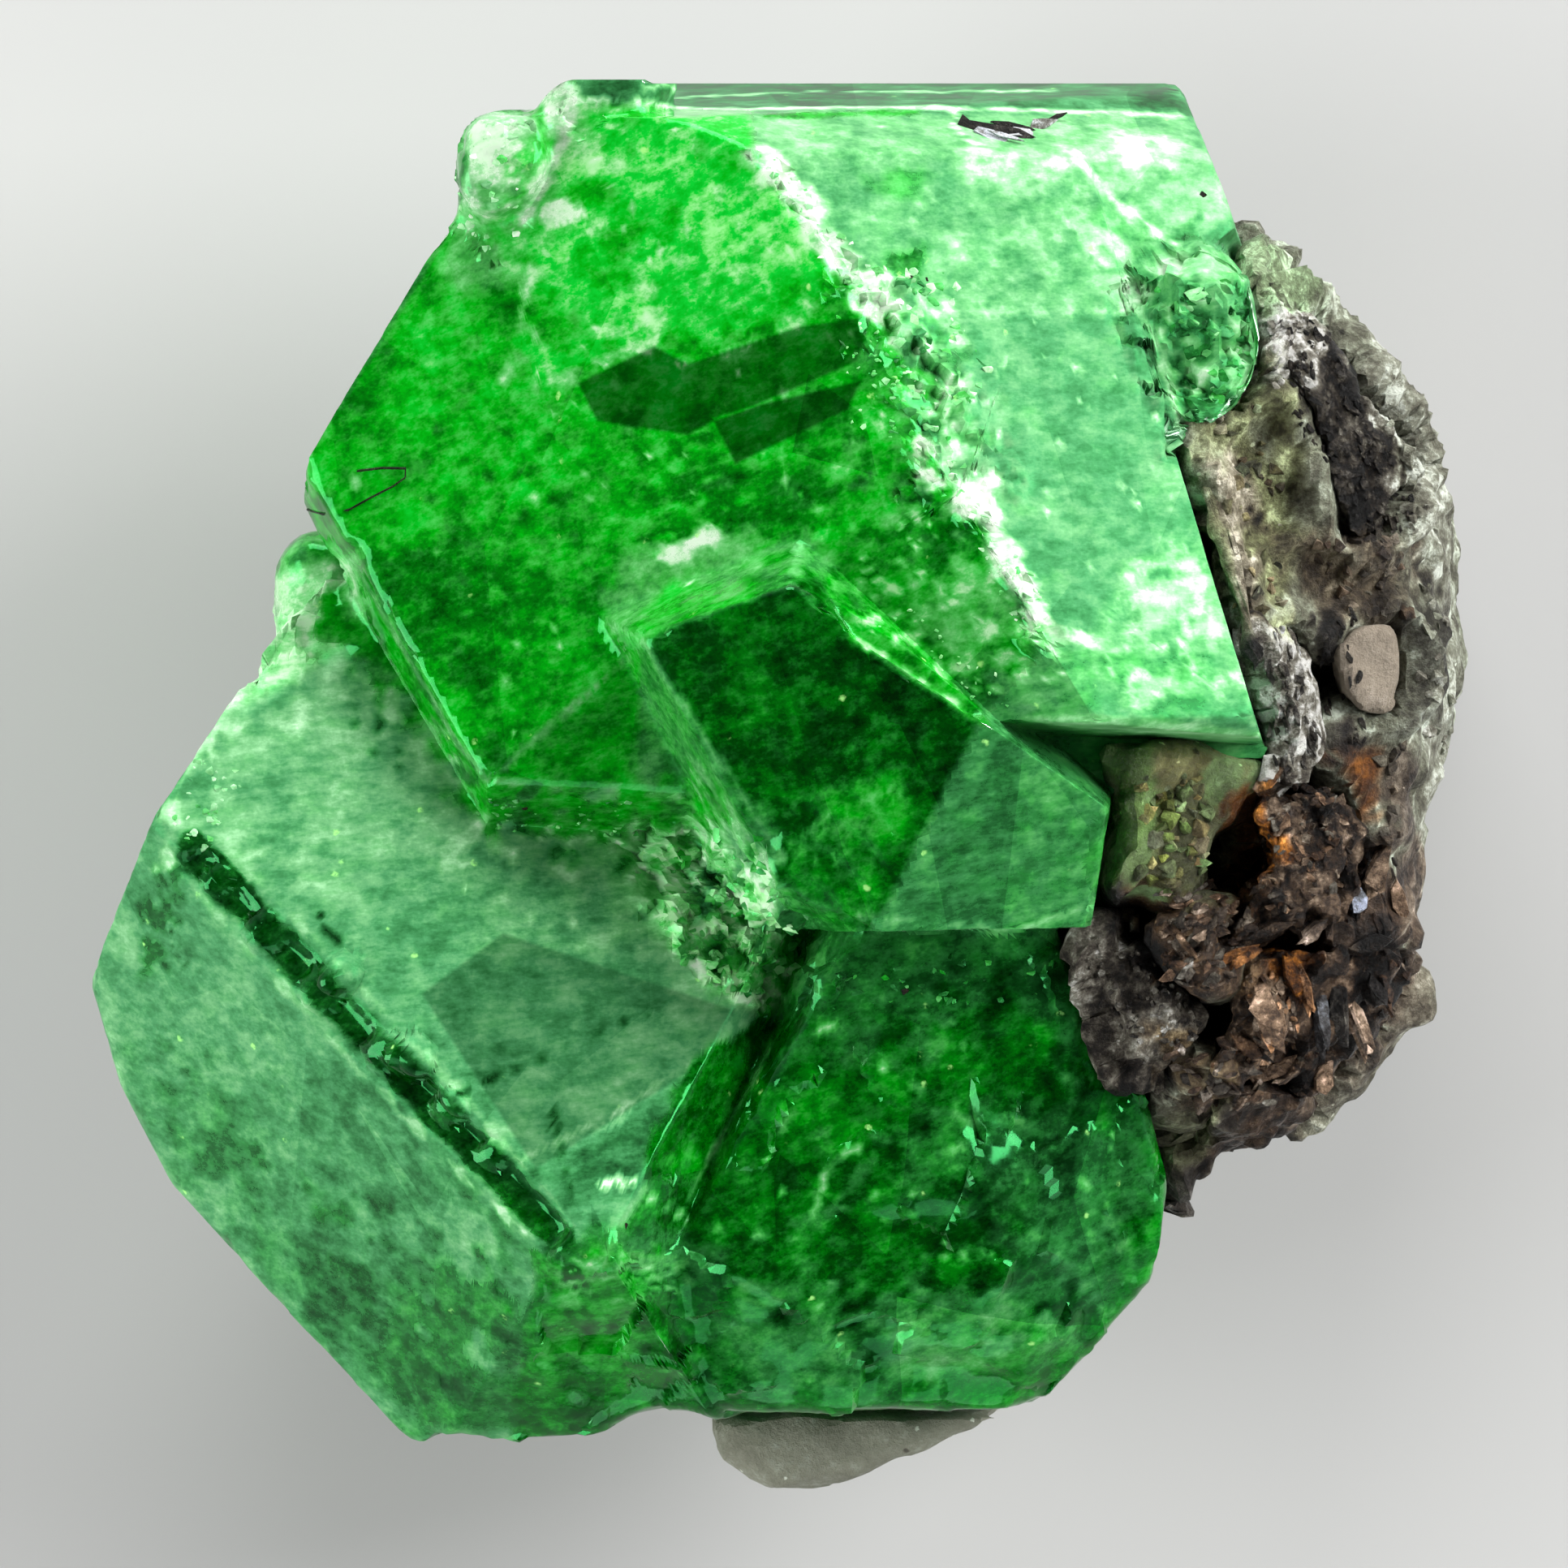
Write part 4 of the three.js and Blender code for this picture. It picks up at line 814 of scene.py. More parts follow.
# Flecks, glints and blots in the crystals: an outline, how many, least and greatest size, slimness,
# way, its spread, least and greatest light, and milk.
FLECKS = [
    (GREAT_HEAD, 44, (0.07, 0.3), 0.6, 20, 60, (0.8, 0.95), 0.35),
    (GREAT_HEAD, 16, (0.2, 0.5), 0.6, 20, 60, (0.52, 0.62), 0.0),
    ([(-6.88, 4.45), (-3.21, 9.6), (-0.43, 9.84), (3.72, 2.2), (-0.79, 3.3), (-4.17, 0.43)], 150,
     (0.03, 0.08), 0.7, 0, 90, (0.9, 1.0), 0.7),
    (GREAT_MIDDLE, 60, (0.1, 0.4), 0.35, 18, 15, (0.3, 0.45), 0.0),
    (GREAT_MIDDLE, 50, (0.08, 0.3), 0.3, 18, 15, (0.62, 0.75), 0.1),
    ([(1, 5.56), (2.08, 6.04), (2.19, 3.88), (0.64, 4.37)], 40, (0.1, 0.35), 0.3, 25, 15, (0.15, 0.75),
     0.2),
    ([(0.64, 3.29), (2.19, 4.35), (3.84, 2.2), (2.78, 1.26), (1.11, 2.2)], 70, (0.05, 0.16), 0.7, 0, 90,
     (0.6, 1.0), 0.5),
    ([(1.59, 2.33), (3.48, 2.68), (3.95, 1.96), (3.01, 1.02)], 30, (0.06, 0.18), 0.7, 0, 90, (0.8, 1.0),
     0.45),
    (PALE_SKIN, 110, (0.03, 0.1), 0.7, 0, 90, (0.9, 1.0), 1.0),
    (PALE_SKIN, 60, (0.1, 0.45), 0.4, 10, 30, (0.4, 0.52), 0.75),
    ([(2.46, 9.25), (6.18, 9.77), (6.79, 8.16), (5.25, 7.21), (2.57, 7.15)], 50, (0.1, 0.45), 0.4, -35,
     30, (0.62, 0.78), 0.95),
    ([(4.68, 2.45), (5.18, 3.29), (6.47, 3.47), (6.71, 1.26), (5.14, 0.9)], 50, (0.08, 0.3), 0.35, 60, 60,
     (0.75, 1.0), 0.9),
    ([(5.26, 7.71), (6.99, 7.88), (7.08, 6.01), (5.88, 5.54)], 40, (0.05, 0.2), 0.6, 0, 90, (0.75, 1.0),
     0.85),
    ([(5.26, 7.46), (6.82, 7.45), (7.08, 6.01), (5.87, 5.65)], 10, (0.1, 0.3), 0.6, 0, 90, (0.15, 0.3),
     0.3),
    ([(1.12, 7.49), (2.57, 7.03), (3.03, 5.08), (2.19, 4.47), (1.72, 6.16)], 60, (0.05, 0.22), 0.6, 0, 90,
     (0.8, 1.0), 0.85),
    ([(1.36, 7.13), (2.56, 6.78), (3.03, 4.84), (2.19, 4.59), (1.72, 6.16)], 40, (0.06, 0.2), 0.6, 0, 90,
     (0.15, 0.35), 0.4),
    ([(-1.38, 1.26), (0.87, 1.61), (2.17, 0.78), (1.35, -0.88), (0.17, -0.4)], 60, (0.08, 0.3), 0.25, 30,
     15, (0.24, 0.36), 0.1),
    ([(-0.07, -1), (1.35, 0.19), (1.82, -0.17), (1.12, -1.35)], 24, (0.1, 0.35), 0.2, 40, 15, (0.4, 0.7),
     0.3),
    ([(-8.12, 1.41), (-6.56, 2.03), (-4.95, 0.2), (-4.45, -1.14), (-6.85, -1.62), (-8.78, -0.89)], 60,
     (0.1, 0.4), 0.4, 40, 40, (0.62, 0.82), 1.0),
    ([(-6.68, 2.03), (-5.93, 1.05), (-5.67, 0.07), (-6.66, 0.8)], 16, (0.04, 0.12), 0.5, -60, 30,
     (0.2, 0.35), 0.3),
    ([(-5.08, 0.44), (-2.25, -0.17), (0.4, -0.4), (-0.07, -1.6), (-3.96, -1.14)], 60, (0.06, 0.25), 0.5,
     0, 90, (0.3, 0.42), 0.2),
    ([(-4.45, -0.54), (-0.79, -0.41), (-0.07, -2.86), (-3.22, -2.47), (-4.92, -1.62)], 90, (0.04, 0.18),
     0.5, 50, 40, (0.72, 0.95), 0.9),
    ([(-1.78, -1.02), (-0.43, -1.37), (0.05, -2.86), (-0.8, -3.32), (-1.65, -2.36)], 60, (0.05, 0.2), 0.6,
     0, 90, (0.8, 1.0), 0.75),
    ([(-1.66, -1.15), (-0.43, -1.49), (-0.07, -3.35), (-1.04, -2.84)], 40, (0.06, 0.2), 0.6, 0, 90,
     (0.15, 0.35), 0.3),
    ([(-5.15, -2.35), (-0.8, -3.2), (-1.28, -4.28), (-3.43, -5.92), (-4.89, -4.02)], 50, (0.1, 0.4), 0.2,
     25, 12, (0.4, 0.6), 0.95),
    ([(-10.02, -2.63), (-8.08, -2.84), (-4.16, -6.67), (-4.47, -8.96), (-8.25, -6.61)], 60, (0.15, 0.6),
     0.3, -50, 25, (0.36, 0.56), 0.9),
    ([(-8.19, -5.34), (-3.93, -7.15), (-3.99, -9.22), (-5.76, -9.56)], 50, (0.1, 0.4), 0.4, -50, 30,
     (0.18, 0.3), 0.3),
    ([(-9.45, -1.75), (-8.94, -1.99), (-8.98, -2.86), (-9.5, -2.74)], 12, (0.06, 0.16), 0.5, 70, 30,
     (0.15, 0.25), 0.2),
    (BROKEN_GARNET, 130, (0.04, 0.14), 0.6, 0, 90, (0.6, 0.95), 0.5),
    (BROKEN_GARNET, 70, (0.12, 0.5), 0.6, 0, 90, (0.12, 0.26), 0.0),
    ([(-0.07, -3.46), (4.04, -2.59), (5.52, -5.28), (5.06, -8), (1.63, -8.94), (-0.44, -6.46)], 50,
     (0.12, 0.4), 0.3, 20, 40, (0.4, 0.5), 0.4),
    ([(3.19, -7.19), (5.27, -6.25), (5.06, -8), (3.46, -8.7), (0.41, -8.93)], 40, (0.1, 0.3), 0.5, 20, 40,
     (0.45, 0.6), 0.6),
    ([(-3.18, -6.87), (-1.28, -6.94), (-1.28, -7.69), (-3.21, -7.77)], 30, (0.08, 0.3), 0.25, 12, 15,
     (0.5, 0.85), 0.5),
    ([(-4.7, 9.7), (-3.68, 9.88), (-3.21, 10.32), (-3.33, 9.36), (-3.94, 8.29), (-4.79, 8.06)], 30,
     (0.04, 0.16), 0.5, 50, 30, (0.9, 1.0), 0.9),
    ([(-4.7, 9.2), (-3.68, 9.44), (-3.82, 8.53), (-4.43, 7.81), (-4.91, 7.82)], 16, (0.06, 0.2), 0.6, 50,
     60, (0.55, 0.7), 0.5),
    ([(2.17, 0.07), (4.39, 0.43), (4.59, -1.6), (2.19, -1.83)], 60, (0.08, 0.3), 0.5, 0, 90, (0.25, 0.5),
     0.4),
]


def strew_flecks(points, notes, light, milk):
    """Paints the flecks into the levels of light and milk."""
    rng = np.random.default_rng(5)
    for outline, count, sizes, slim, way, spread, lights, milky in FLECKS:
        for spot in spots_in(outline, count, rng):
            size, level = rng.uniform(*sizes), rng.uniform(*lights)
            turn = math.radians(way + rng.uniform(-spread, spread))
            near = np.flatnonzero((np.abs(points[:, :2] - spot) < 1.3 * size).all(axis=1))
            away = points[near, :2] - spot
            long = away @ (math.cos(turn), math.sin(turn)) / size
            wide = away @ (-math.sin(turn), math.cos(turn)) / (size * slim)
            reach = np.hypot(long, wide) + 0.45 * notes["fray"][near]
            mask = (1 - smooth_step(0.45, 1.0, reach)) * notes["up"][near] * rng.uniform(0.5, 1)
            light[near] += mask * (level - light[near])
            milk[near] += mask * (milky - milk[near])


def paint_garnets(points, notes):
    """How light and how milky the garnets are at each point, with painted light and shade laid in."""
    light = 0.42 + 0.08 * notes["wave"]
    milk = np.full(len(points), 0.3)
    marks = [(within(points, outline, soft, ragged * notes["fray"]), level, milky)
             for outline, level, milky, soft, ragged in AREA_MARKS]
    marks += [(along(points, line, width, soft, ragged * notes["small"]), level, milky)
              for line, level, milky, width, soft, ragged in LINE_MARKS]
    for mask, level, milky in marks:
        mask = mask * notes["up"]
        light += mask * (level - light)
        milk += mask * (milky - milk)
    strew_flecks(points, notes, light, milk)
    _, own, _ = grains(points, 0.42, 5)
    rough = notes["rough"] * (1 - 0.6 * along(points, RIDGE, 0.3, 0.2))
    light += rough * 0.4 * (own[:, 1] - 0.45)
    milk += rough * 0.4 * (own[:, 2] - 0.4)
    # Painted highlights on the crests, away from the groove.
    glint = notes["edge"] * smooth_step(-0.1, 0.5, notes["small"])
    glint *= 1 - along(points, GROOVE, 0.5, 0.1)
    light += 0.3 * glint * (0.9 - light)
    milk += 0.3 * glint * (0.7 - milk)
    return np.clip(light, 0, 1), np.clip(milk, 0, 1)


# Garnet's refractive index, and the colours that it keeps of the light passing through it, of its gloss,
# of its flecks, which are painted sparkle, and of the painted shade in its dark windows.
GARNET_IOR = 1.74
ABSORBED = (0.03, 0.98, 0.1, 1)
SHEEN = (0.12, 1.0, 0.3, 1)
SPARKLE_FLECK = (0.4, 0.95, 0.25)
WINDOW_SHADE = (0.0, 0.012, 0.0)
# What colour each level of light has, from dark to bright, where a garnet is vivid and where it is milky.
VIVID = [
    (0.0, (0.0, 0.012, 0.0)),
    (0.2, (0.0, 0.06, 0.001)),
    (0.4, (0.0005, 0.19, 0.003)),
    (0.6, (0.001, 0.44, 0.005)),
    (0.8, (0.005, 0.64, 0.035)),
    (1.0, (0.25, 0.92, 0.22)),
]
MILKY = [
    (0.0, (0.006, 0.04, 0.01)),
    (0.2, (0.026, 0.15, 0.045)),
    (0.4, (0.07, 0.29, 0.11)),
    (0.6, (0.17, 0.45, 0.19)),
    (0.8, (0.36, 0.7, 0.37)),
    (1.0, (0.8, 0.95, 0.76)),
]


def garnet_material(name, clear, density, gloss, turn, drawn, windows):
    """Green garnet. clear is how much light passes through, and gloss its least and greatest roughness.

    turn and drawn give the way and the length of its growth streaks.
    """
    material, tree, shader = new_material(name)
    cloud = use(tree, CLOUDS, Scale=1.5, Detail=5.0, Rough=0.74)
    streaks = use(tree, CLOUDS, Scale=5.0, Detail=3.0, Rough=0.75, Turn=turn, Stretch=(drawn, 1, 1),
                  Shift=(3, 7, 1))
    panes = use(tree, PANES, Scale=0.5, Turn=turn, Stretch=(1.0, 0.55, 0.5))
    light = sway(tree, noted(tree, "light"), cloud, 0.38)
    light = sway(tree, light, streaks, 0.2, clamp=True)
    light = sway(tree, light, panes, 0.17, clamp=True)
    milk = sway(tree, noted(tree, "milk"), streaks, 0.3, clamp=True)
    colour = mix(tree, milk, ramp(tree, light, VIVID), ramp(tree, light, MILKY))
    # Bright flecks where the clouds are high: painted sparkle.
    flecks = use(tree, SPECKS, Scale=2.4, Size=0.16, Share=0.3)
    flecks = maths(tree, "MULTIPLY", flecks, step(tree, cloud, 0.4, 0.75))
    colour = mix(tree, flecks, colour, SPARKLE_FLECK)
    # The windows darken the colour: painted shade of the dark that the crystal reflects from within.
    if windows:
        dark = 0.0
        for outline, kept in windows:
            mask = maths(tree, "MULTIPLY", window(tree, outline, 0.04), 1 - kept)
            dark = maths(tree, "MAXIMUM", dark, mask)
        colour = mix(tree, dark, colour, WINDOW_SHADE)
    feed(tree, shader.inputs["Base Color"], colour)
    shader.inputs["Transmission Weight"].default_value = clear
    shader.inputs["IOR"].default_value = GARNET_IOR
    shader.inputs["Specular IOR Level"].default_value = 0.15
    shader.inputs["Specular Tint"].default_value = SHEEN
    dull = maths(tree, "ADD", maths(tree, "MULTIPLY", milk, 0.6), maths(tree, "MULTIPLY", cloud, 0.4))
    feed(tree, shader.inputs["Roughness"], step(tree, dull, 0.1, 1.0, *gloss))
    depth = add(tree, "VolumeAbsorption", {"Color": ABSORBED, "Density": density})
    tree.links.new(depth.outputs[0], tree.nodes["Material Output"].inputs["Volume"])
    return material


# The two kinds of garnet: clear, density, gloss, turn and drawn. Then their materials, each with its
# windows of painted shade.
CLEAR_GARNET = (0.38, 800, (0.06, 0.32), -0.35, 0.6)
MILKY_GARNET = (0.22, 450, (0.18, 0.5), -0.15, 0.35)
GARNETS = {
    "garnet_clear": (*CLEAR_GARNET, ()),
    "garnet_milky": (*MILKY_GARNET, ()),
    "garnet_clear_panes": (*CLEAR_GARNET, CLEAR_WINDOWS),
    "garnet_milky_panes": (*MILKY_GARNET, MILKY_WINDOWS),
}


def build_garnets():
    """The garnets. Returns them as ground for what lies on them."""
    points, faces = fine_mesh("tsavorite_crystals", garnet_step)
    points = soften(points, faces, 2)
    points, notes = carve_garnets(points, faces)
    points[:, 2] = np.maximum(points[:, 2], 0)
    light, milk = paint_garnets(points, notes)
    piece = make_piece("garnet_crystals", points, faces, "tsavorite_crystals",
                       {"light": light, "milk": milk})
    for name, values in GARNETS.items():
        piece.data.materials.append(garnet_material(name, *values))
    middles = points[faces].mean(axis=1)
    milky = np.zeros(len(faces), bool)
    for outline in (PALE_FACE, APRON, BODY, TOP_STRIP):
        milky |= depth_inside(middles, outline) > 0
    milky &= milk[faces].mean(axis=1) > 0.4
    windowed = np.zeros(len(faces), bool)
    for outline, _ in CLEAR_WINDOWS + MILKY_WINDOWS:
        windowed |= depth_inside(middles, outline) > -0.2
    piece.data.polygons.foreach_set("material_index", milky + 2 * windowed.astype(np.int32))
    return BVHTree.FromPolygons(points.tolist(), faces.tolist())


# ---------- the matrix: colour ----------

# Each mineral: its kind, which sets how it breaks and how flecked it is, its tone from 0, black, to 1,
# white, its green and its rust, how much its tone changes from grain to grain, and its roughness and
# metallic.
MINERALS = {
    "gneiss_crust": ("gneiss", 0.7, 0.17, 0.0, 0.34, 0.5, 0.0),
    "quartz_grain": ("quartz", 0.75, 0.75, 0.05, 0.15, 0.3, 0.0),
    "graphite_band": ("graphite", 0.18, 0.0, 0.0, 0.6, 0.3, 0.3),
    # The blade's pale tone is partly painted sheen, for the steely shine of graphite.
    "graphite_blade": ("graphite", 0.78, 0.0, 0.0, 0.6, 0.3, 0.2),
    "graphite_chunk": ("graphite", 0.5, 0.0, 0.0, 0.5, 0.45, 0.4),
    "graphite_foot": ("graphite", 0.36, 0.0, 0.0, 0.35, 0.4, 0.4),
    "upper_mica_book": ("mica", 0.38, 0.0, 0.2, 0.55, 0.35, 0.3),
    "lower_mica_book": ("mica", 0.34, 0.0, 0.2, 0.5, 0.35, 0.3),
    "calcite_grain": ("calcite", 0.76, 0.0, 0.1, 0.06, 0.45, 0.0),
    "calcite_wedge": ("calcite", 0.78, 0.12, 0.0, 0.06, 0.6, 0.0),
}
# Places on the matrix, seen from above: an outline, its tone, green, rust and blue, the softness of its
# border and how ragged it is.
STONE_MARKS = [
    ([(9.2, 7.0), (11, 4), (11, -1.5), (9.6, -1.2), (9.9, 2.6), (8.6, 6.4)], 0.78, 0.1, 0.0, 0.0, 0.3,
     0.5),
    ([(6.2, 8.6), (8.2, 8.6), (8.0, 6.9), (6.7, 6.6)], 0.8, 0.55, 0.0, 0.0, 0.2, 0.3),
    # A white patch on the crust: its own pale grains, with painted sparkle.
    ([(7.0, 6.9), (7.9, 7.1), (8.1, 6.1), (7.3, 5.7)], 0.93, 0.0, 0.0, 0.0, 0.15, 0.4),
    ([(6.0, 5.8), (7.3, 6.0), (7.9, 3.8), (7.4, 2.4), (6.4, 3.0)], 0.7, 0.5, 0.15, 0.0, 0.3, 0.6),
    ([(6.3, 4.9), (6.7, 4.9), (7.2, 2.6), (6.8, 2.4)], 0.72, 0.1, 0.1, 0.0, 0.12, 0.3),
    ([(7.6, 3.6), (9.3, 3.8), (9.4, 2.4), (8.2, 2.2)], 0.53, 0.1, 0.15, 0.0, 0.3, 0.6),
    ([(9.1, 2.7), (10.0, 2.6), (10.0, 0.8), (9.3, 0.8)], 0.52, 0.15, 0.0, 0.1, 0.15, 0.3),
    ([(8.0, 2.6), (8.35, 2.6), (8.65, 0.5), (8.2, 0.5)], 0.1, 0.0, 0.0, 0.0, 0.08, 0.15),
    ([(8.45, 0.45), (8.9, 0.45), (8.95, -0.5), (8.6, -0.5)], 0.34, 0.0, 1.0, 0.0, 0.12, 0.2),
    ([(8.95, 0.5), (9.5, 0.6), (9.5, -0.9), (9.1, -1.0)], 0.45, 0.0, 0.1, 0.0, 0.12, 0.2),
    ([(8.2, -1.2), (9.8, -1.2), (9.4, -3.6), (7.6, -5.6), (6.6, -5.6)], 0.3, 0.0, 0.25, 0.0, 0.3, 0.6),
    ([(6.35, -0.6), (7.1, -0.3), (7.1, -1.9), (6.4, -2.0)], 0.22, 0.0, 0.7, 0.0, 0.12, 0.2),
    ([(6.8, -0.15), (7.12, -0.1), (7.1, -0.9), (6.8, -0.8)], 0.42, 0.0, 1.0, 0.0, 0.08, 0.2),
    ([(7.15, -2.4), (7.9, -2.4), (7.8, -3.3), (7.4, -3.2)], 0.5, 0.0, 1.0, 0.0, 0.15, 0.3),
    # A black crevice: painted shade.
    ([(4.5, -1.6), (4.9, -1.5), (6.4, -3.2), (6.0, -3.6)], 0.03, 0.0, 0.0, 0.0, 0.1, 0.15),
    # Black below the graphite chunk: painted shadow.
    ([(4.9, -4.15), (5.7, -4.25), (5.7, -4.7), (5.0, -4.7)], 0.02, 0.0, 0.0, 0.0, 0.08, 0.1),
    ([(5.5, -5.0), (6.7, -4.7), (6.3, -5.7), (5.4, -5.9)], 0.58, 0.35, 0.1, 0.0, 0.1, 0.2),
    ([(7.38, -0.38), (7.54, -0.38), (7.54, -0.55), (7.38, -0.55)], 0.3, 0.0, 0.0, 1.0, 0.04, 0.1),
    ([(9.0, -3.0), (9.3, -3.0), (9.1, -3.7), (8.9, -3.6)], 0.5, 0.0, 1.0, 0.0, 0.08, 0.1),
    ([(8.6, -2.4), (9.6, -2.4), (9.3, -3.8), (8.7, -3.9)], 0.0, 0.0, 0.2, 0.0, 0.1, 0.3),
    ([(4.8, 0.65), (5.69, 0.65), (5.56, -0.41), (5.32, -1.32), (4.83, -1.26)], 0.64, 1, 0.1, 0, 0.15,
     0.4),
    ([(5.67, 0.69), (6.72, 0.73), (6.47, 0.07), (5.86, -0.53), (5.5, -1.14), (5.56, -0.41)], 0.66, 0.5,
     0.25, 0, 0.2, 0.6),
    ([(5.38, -1.26), (6.11, -0.53), (6.35, -1.14), (6.17, -1.99), (5.5, -1.93)], 0.4, 0.6, 0.2, 0, 0.1,
     0.3),
    ([(6.35, -0.23), (7.2, -0.11), (7.32, -1.02), (6.89, -1.68), (6.17, -1.5)], 0.42, 0, 1, 0, 0.06, 0.3),
    ([(5.32, -1.68), (6.96, -1.62), (6.89, -3.32), (5.74, -2.96)], 0.36, 0.1, 0.4, 0.0, 0.12, 0.5),
    ([(5.62, -3.74), (6.47, -3.74), (6.47, -4.71), (5.74, -4.71)], 0.42, 0.2, 0.3, 0.0, 0.12, 0.4),
    ([(9.4, -1.5), (11, -1.5), (10.5, -4.5), (8, -6.5), (7.2, -5.6), (9.2, -3.8)], 0.52, 0.0, 0.15, 0.0,
     0.15, 0.5),
    ([(5.74, -0.23), (6.65, -0.29), (6.77, -1.74), (5.62, -1.68)], 0.5, 0.5, 0.1, 0.0, 0.12, 0.5),
]
# Dark spots and cracks of the crust: a line seen from above, its tone and its half width.
SPOT_MARKS = [
    ([(6.95, 4.15), (7.12, 3.9)], 0.08, 0.12),
    ([(7.66, 5.8), (7.74, 5.6)], 0.1, 0.12),
    ([(6.55, 7.1), (6.75, 6.6)], 0.08, 0.1),
    ([(8.3, 2.7), (8.6, 2.9)], 0.25, 0.15),
    ([(9.6, 3.3), (9.9, 2.9)], 0.3, 0.1),
    ([(8.9, 4.0), (9.1, 3.4)], 0.35, 0.12),
    ([(6.25, 3.9), (6.5, 3.0)], 0.2, 0.04),
    ([(7.0, 2.2), (7.05, 0.2)], 0.05, 0.06),
]
DARK_TO_PALE = [
    (0.0, (0.001, 0.0008, 0.0006)),
    (0.2, (0.011, 0.0085, 0.0065)),
    (0.4, (0.042, 0.035, 0.027)),
    (0.6, (0.115, 0.103, 0.08)),
    (0.8, (0.27, 0.26, 0.215)),
    (1.0, (0.72, 0.71, 0.67)),
]


def paint_stone(points, mineral, shake):
    """Tone, green, rust and blue of a piece of the matrix at each point."""
    _, tone, green, rust, *_ = MINERALS[mineral]
    notes = {"tone": np.full(len(points), tone), "green": np.full(len(points), green),
             "rust": np.full(len(points), rust), "blue": np.zeros(len(points))}
    if "calcite" not in mineral:
        top = smooth_step(5.0, 7.5, points[:, 2])
        for outline, *levels, soft, ragged in STONE_MARKS:
            mask = top * within(points, outline, soft, ragged * shake)
            for label, level in zip(notes, levels):
                notes[label] += mask * (level - notes[label])
    if mineral == "gneiss_crust":
        for line, level, width in SPOT_MARKS:
            notes["tone"] += along(points, line, width, 0.04, 0.1 * shake) * (level - notes["tone"])
    return notes


TINTS = {"green": (0.6, 1.25, 0.45), "rust": (2.4, 0.95, 0.2), "blue": (0.72, 0.92, 1.6)}
STONE_BUMP = 0.08


def stone_material(mineral):
    """An opaque mineral, from the tone and tints noted at its points."""
    slot, _, _, _, change, roughness, metallic = MINERALS[mineral]
    material, tree, shader = new_material(mineral)
    broad = use(tree, CLOUDS, Scale=1.6, Detail=6.0, Rough=0.65)
    fine = use(tree, CLOUDS, Scale=6.0, Detail=6.0, Rough=0.75)
    tone = sway(tree, noted(tree, "tone"), broad, change)
    tone = sway(tree, tone, fine, change * 1.2, clamp=True)
    flecks = use(tree, SPECKS, Scale=2.6, Size=0.22, Share=0.3 if slot == "gneiss" else 0.1)
    glints = use(tree, SPECKS, Scale=3.4, Size=0.17, Share=0.25, Shift=(5, 2, 9))
    tone = maths(tree, "MULTIPLY_ADD", flecks, -0.28, tone)
    tone = maths(tree, "MULTIPLY_ADD", glints, 0.34, tone, clamp=True)
    colour = ramp(tree, tone, DARK_TO_PALE)
    for label, tint in TINTS.items():
        colour = mix(tree, noted(tree, label), colour, mix(tree, 1.0, colour, tint, "MULTIPLY"))
    feed(tree, shader.inputs["Base Color"], colour)
    feed(tree, shader.inputs["Roughness"], step(tree, fine, 0.2, 0.8, roughness + 0.15, roughness - 0.15))
    shader.inputs["Metallic"].default_value = metallic
    shader.inputs["Specular IOR Level"].default_value = 0.3
    bump = add(tree, "Bump", {"Height": fine, "Strength": 0.8, "Distance": STONE_BUMP * MM})
    tree.links.new(bump.outputs[0], shader.inputs["Normal"])
    return material


# ---------- the matrix: shape ----------


def close_gaps(points, faces, node):
    """Moves a grain's skin out to meet the grains beside it."""
    normals = normals_of(points, faces)
    reach = np.zeros(len(points))
    low, high = points.min(axis=0) - 1, points.max(axis=0) + 1
    for other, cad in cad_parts.items():
        if other == node:
            continue
        corners = np.array([v.co[:] for v in cad.data.vertices]) / MM
        if (corners.max(axis=0) < low).any() or (corners.min(axis=0) > high).any():
            continue
        tree = BVHTree.FromPolygons(corners.tolist(), [p.vertices[:] for p in cad.data.polygons])
        share = 1.1 if other == "tsavorite_crystals" or node == "gneiss_crust" else 0.15
        near = ((points > corners.min(axis=0) - 0.5) & (points < corners.max(axis=0) + 0.5)).all(axis=1)
        for i in np.flatnonzero(near):
            _, _, _, away = tree.find_nearest(points[i].tolist(), 0.5)
            if away is not None:
                reach[i] = max(reach[i], share * away)
    return points + normals * reach[:, None]


# How each mineral breaks, coarse first: the size of its grains, their slant, how far they stand proud and
# how they are drawn out.
RELIEFS = {
    "gneiss": ((1.0, 0.25, 0.08, (1, 1, 1)), (0.4, 0.25, 0.04, (1, 1.4, 1))),
    "quartz": ((0.9, 0.2, 0.06, (1, 1, 1)), (0.35, 0.16, 0.02, (1, 1, 1))),
    "graphite": ((0.5, 0.25, 0.04, (1, 1.8, 1)), (0.2, 0.3, 0.02, (1, 1.6, 1))),
    "mica": ((0.55, 0.35, 0.08, (1, 2.0, 1)), (0.22, 0.3, 0.03, (1, 2.0, 1))),
    "calcite": ((1.2, 0.06, 0.01, (1, 1, 1)), (0.3, 0.04, 0.006, (1, 1, 1))),
}

